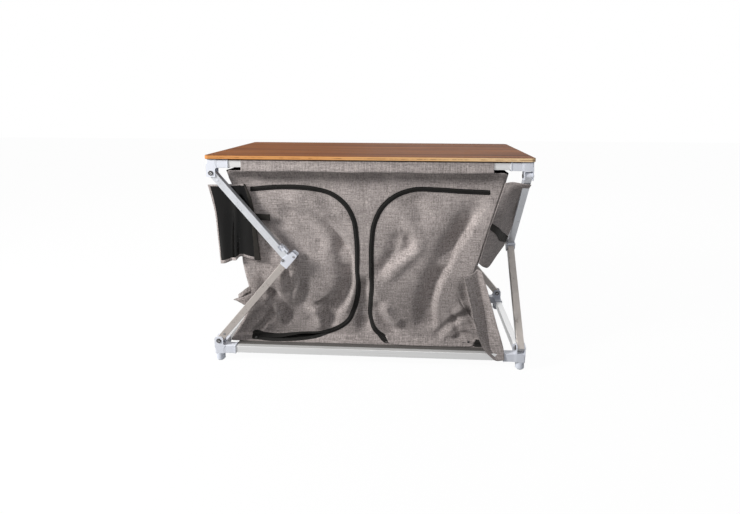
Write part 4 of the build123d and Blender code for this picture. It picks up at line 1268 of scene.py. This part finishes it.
def two_surfaces(tree, share, first, second, out):
    """One shader or the other by a share, joined to the output."""
    mixed = tree.node("MixShader", {0: share, 1: first.outputs[0], 2: second.outputs[0]})
    tree.put(tree.tree.nodes[out].inputs["Surface"], mixed.outputs[0])


def pale_floor():
    """A pale floor that takes shadows and reads as white."""
    reach, white_share, grey, strength = 9, 0.88, 0.2, 1.1
    corners = [(x * reach, y * reach, 0) for x, y in ((-1, -1), (1, -1), (1, 1), (-1, 1))]
    mesh = bpy.data.meshes.new("floor")
    mesh.from_pydata(corners, [], [(0, 1, 2, 3)])
    floor = placed("floor", mesh)
    f = Finish("pale floor", rough=0.9)
    f.shader.inputs["Base Color"].default_value = (grey, grey, grey, 1)
    glow = f.node("Emission", {"Strength": strength})
    share = f.sums("MULTIPLY", seen_rays(f), white_share)
    two_surfaces(f, share, f.shader, glow, "Material Output")
    mesh.materials.append(f.material)


def sky():
    """A dim sky that lights the object and a white one behind it."""
    world = bpy.data.worlds.new("sky")
    bpy.context.scene.world = world
    world.use_nodes = True
    tree = Nodes(world.node_tree)
    dim = tree.tree.nodes["Background"]
    dim.inputs["Color"].default_value = (0.93, 0.96, 1.0, 1)
    dim.inputs["Strength"].default_value = 0.22
    white = tree.node("Background", {"Color": (1, 1, 1, 1), "Strength": 1.0})
    two_surfaces(tree, seen_rays(tree), dim, white, "World Output")


# Each lamp's name, place, aim, size in metres, power in watts and colour
LAMPS = [
    ("window", (-2.7, -1.55, 1.9), (0.0, -0.2, 0.38), 0.8, 146, (1.0, 0.99, 0.97)),
    ("overhead", (0.1, -2.2, 2.1), (0.0, -0.2, 0.42), 0.9, 12, (1.0, 1.0, 1.0)),
    ("fill", (2.4, -1.6, 1.5), (0.1, 0.0, 0.3), 1.6, 4, (0.97, 0.98, 1.0)),
    ("rear", (0.6, 2.6, 2.2), (0.0, 0.0, 0.4), 2.2, 26, (1, 1, 1)),
]


def lamps():
    """Soft square lamps, each turned so that its axis runs from its place to its aim."""
    for name, at, look, size, power, colour in LAMPS:
        lamp = bpy.data.lights.new(name, "AREA")
        lamp.size = size
        lamp.energy = power
        lamp.color = colour
        toward = np.array(look) - np.array(at)
        z = -toward / np.linalg.norm(toward)
        x = np.cross((0, 0, 1), z)
        x /= np.linalg.norm(x)
        placed(name, lamp, (x, np.cross(z, x), z), at)


def camera():
    """The camera, turned by its yaw, pitch and roll in radians, with a small shift of the frame."""
    yaw, pitch, roll = 0.05603, -0.14684, -0.00321
    place = (0.14069, -1.72797, 0.83534)
    turn = Matrix.Rotation(yaw, 3, "Z") @ Matrix.Rotation(pitch, 3, "X") @ Matrix.Rotation(roll, 3, "Y")
    view = bpy.data.cameras.new("camera")
    view.sensor_width = 36.0
    view.lens = 24.322
    view.shift_x = -0.02175
    view.shift_y = -0.1111
    right, ahead, up = turn.col
    bpy.context.scene.camera = placed("camera", view, (right, up, -ahead), place)


pale_floor()
sky()
lamps()
camera()
bpy.context.scene.view_settings.view_transform = "Standard"
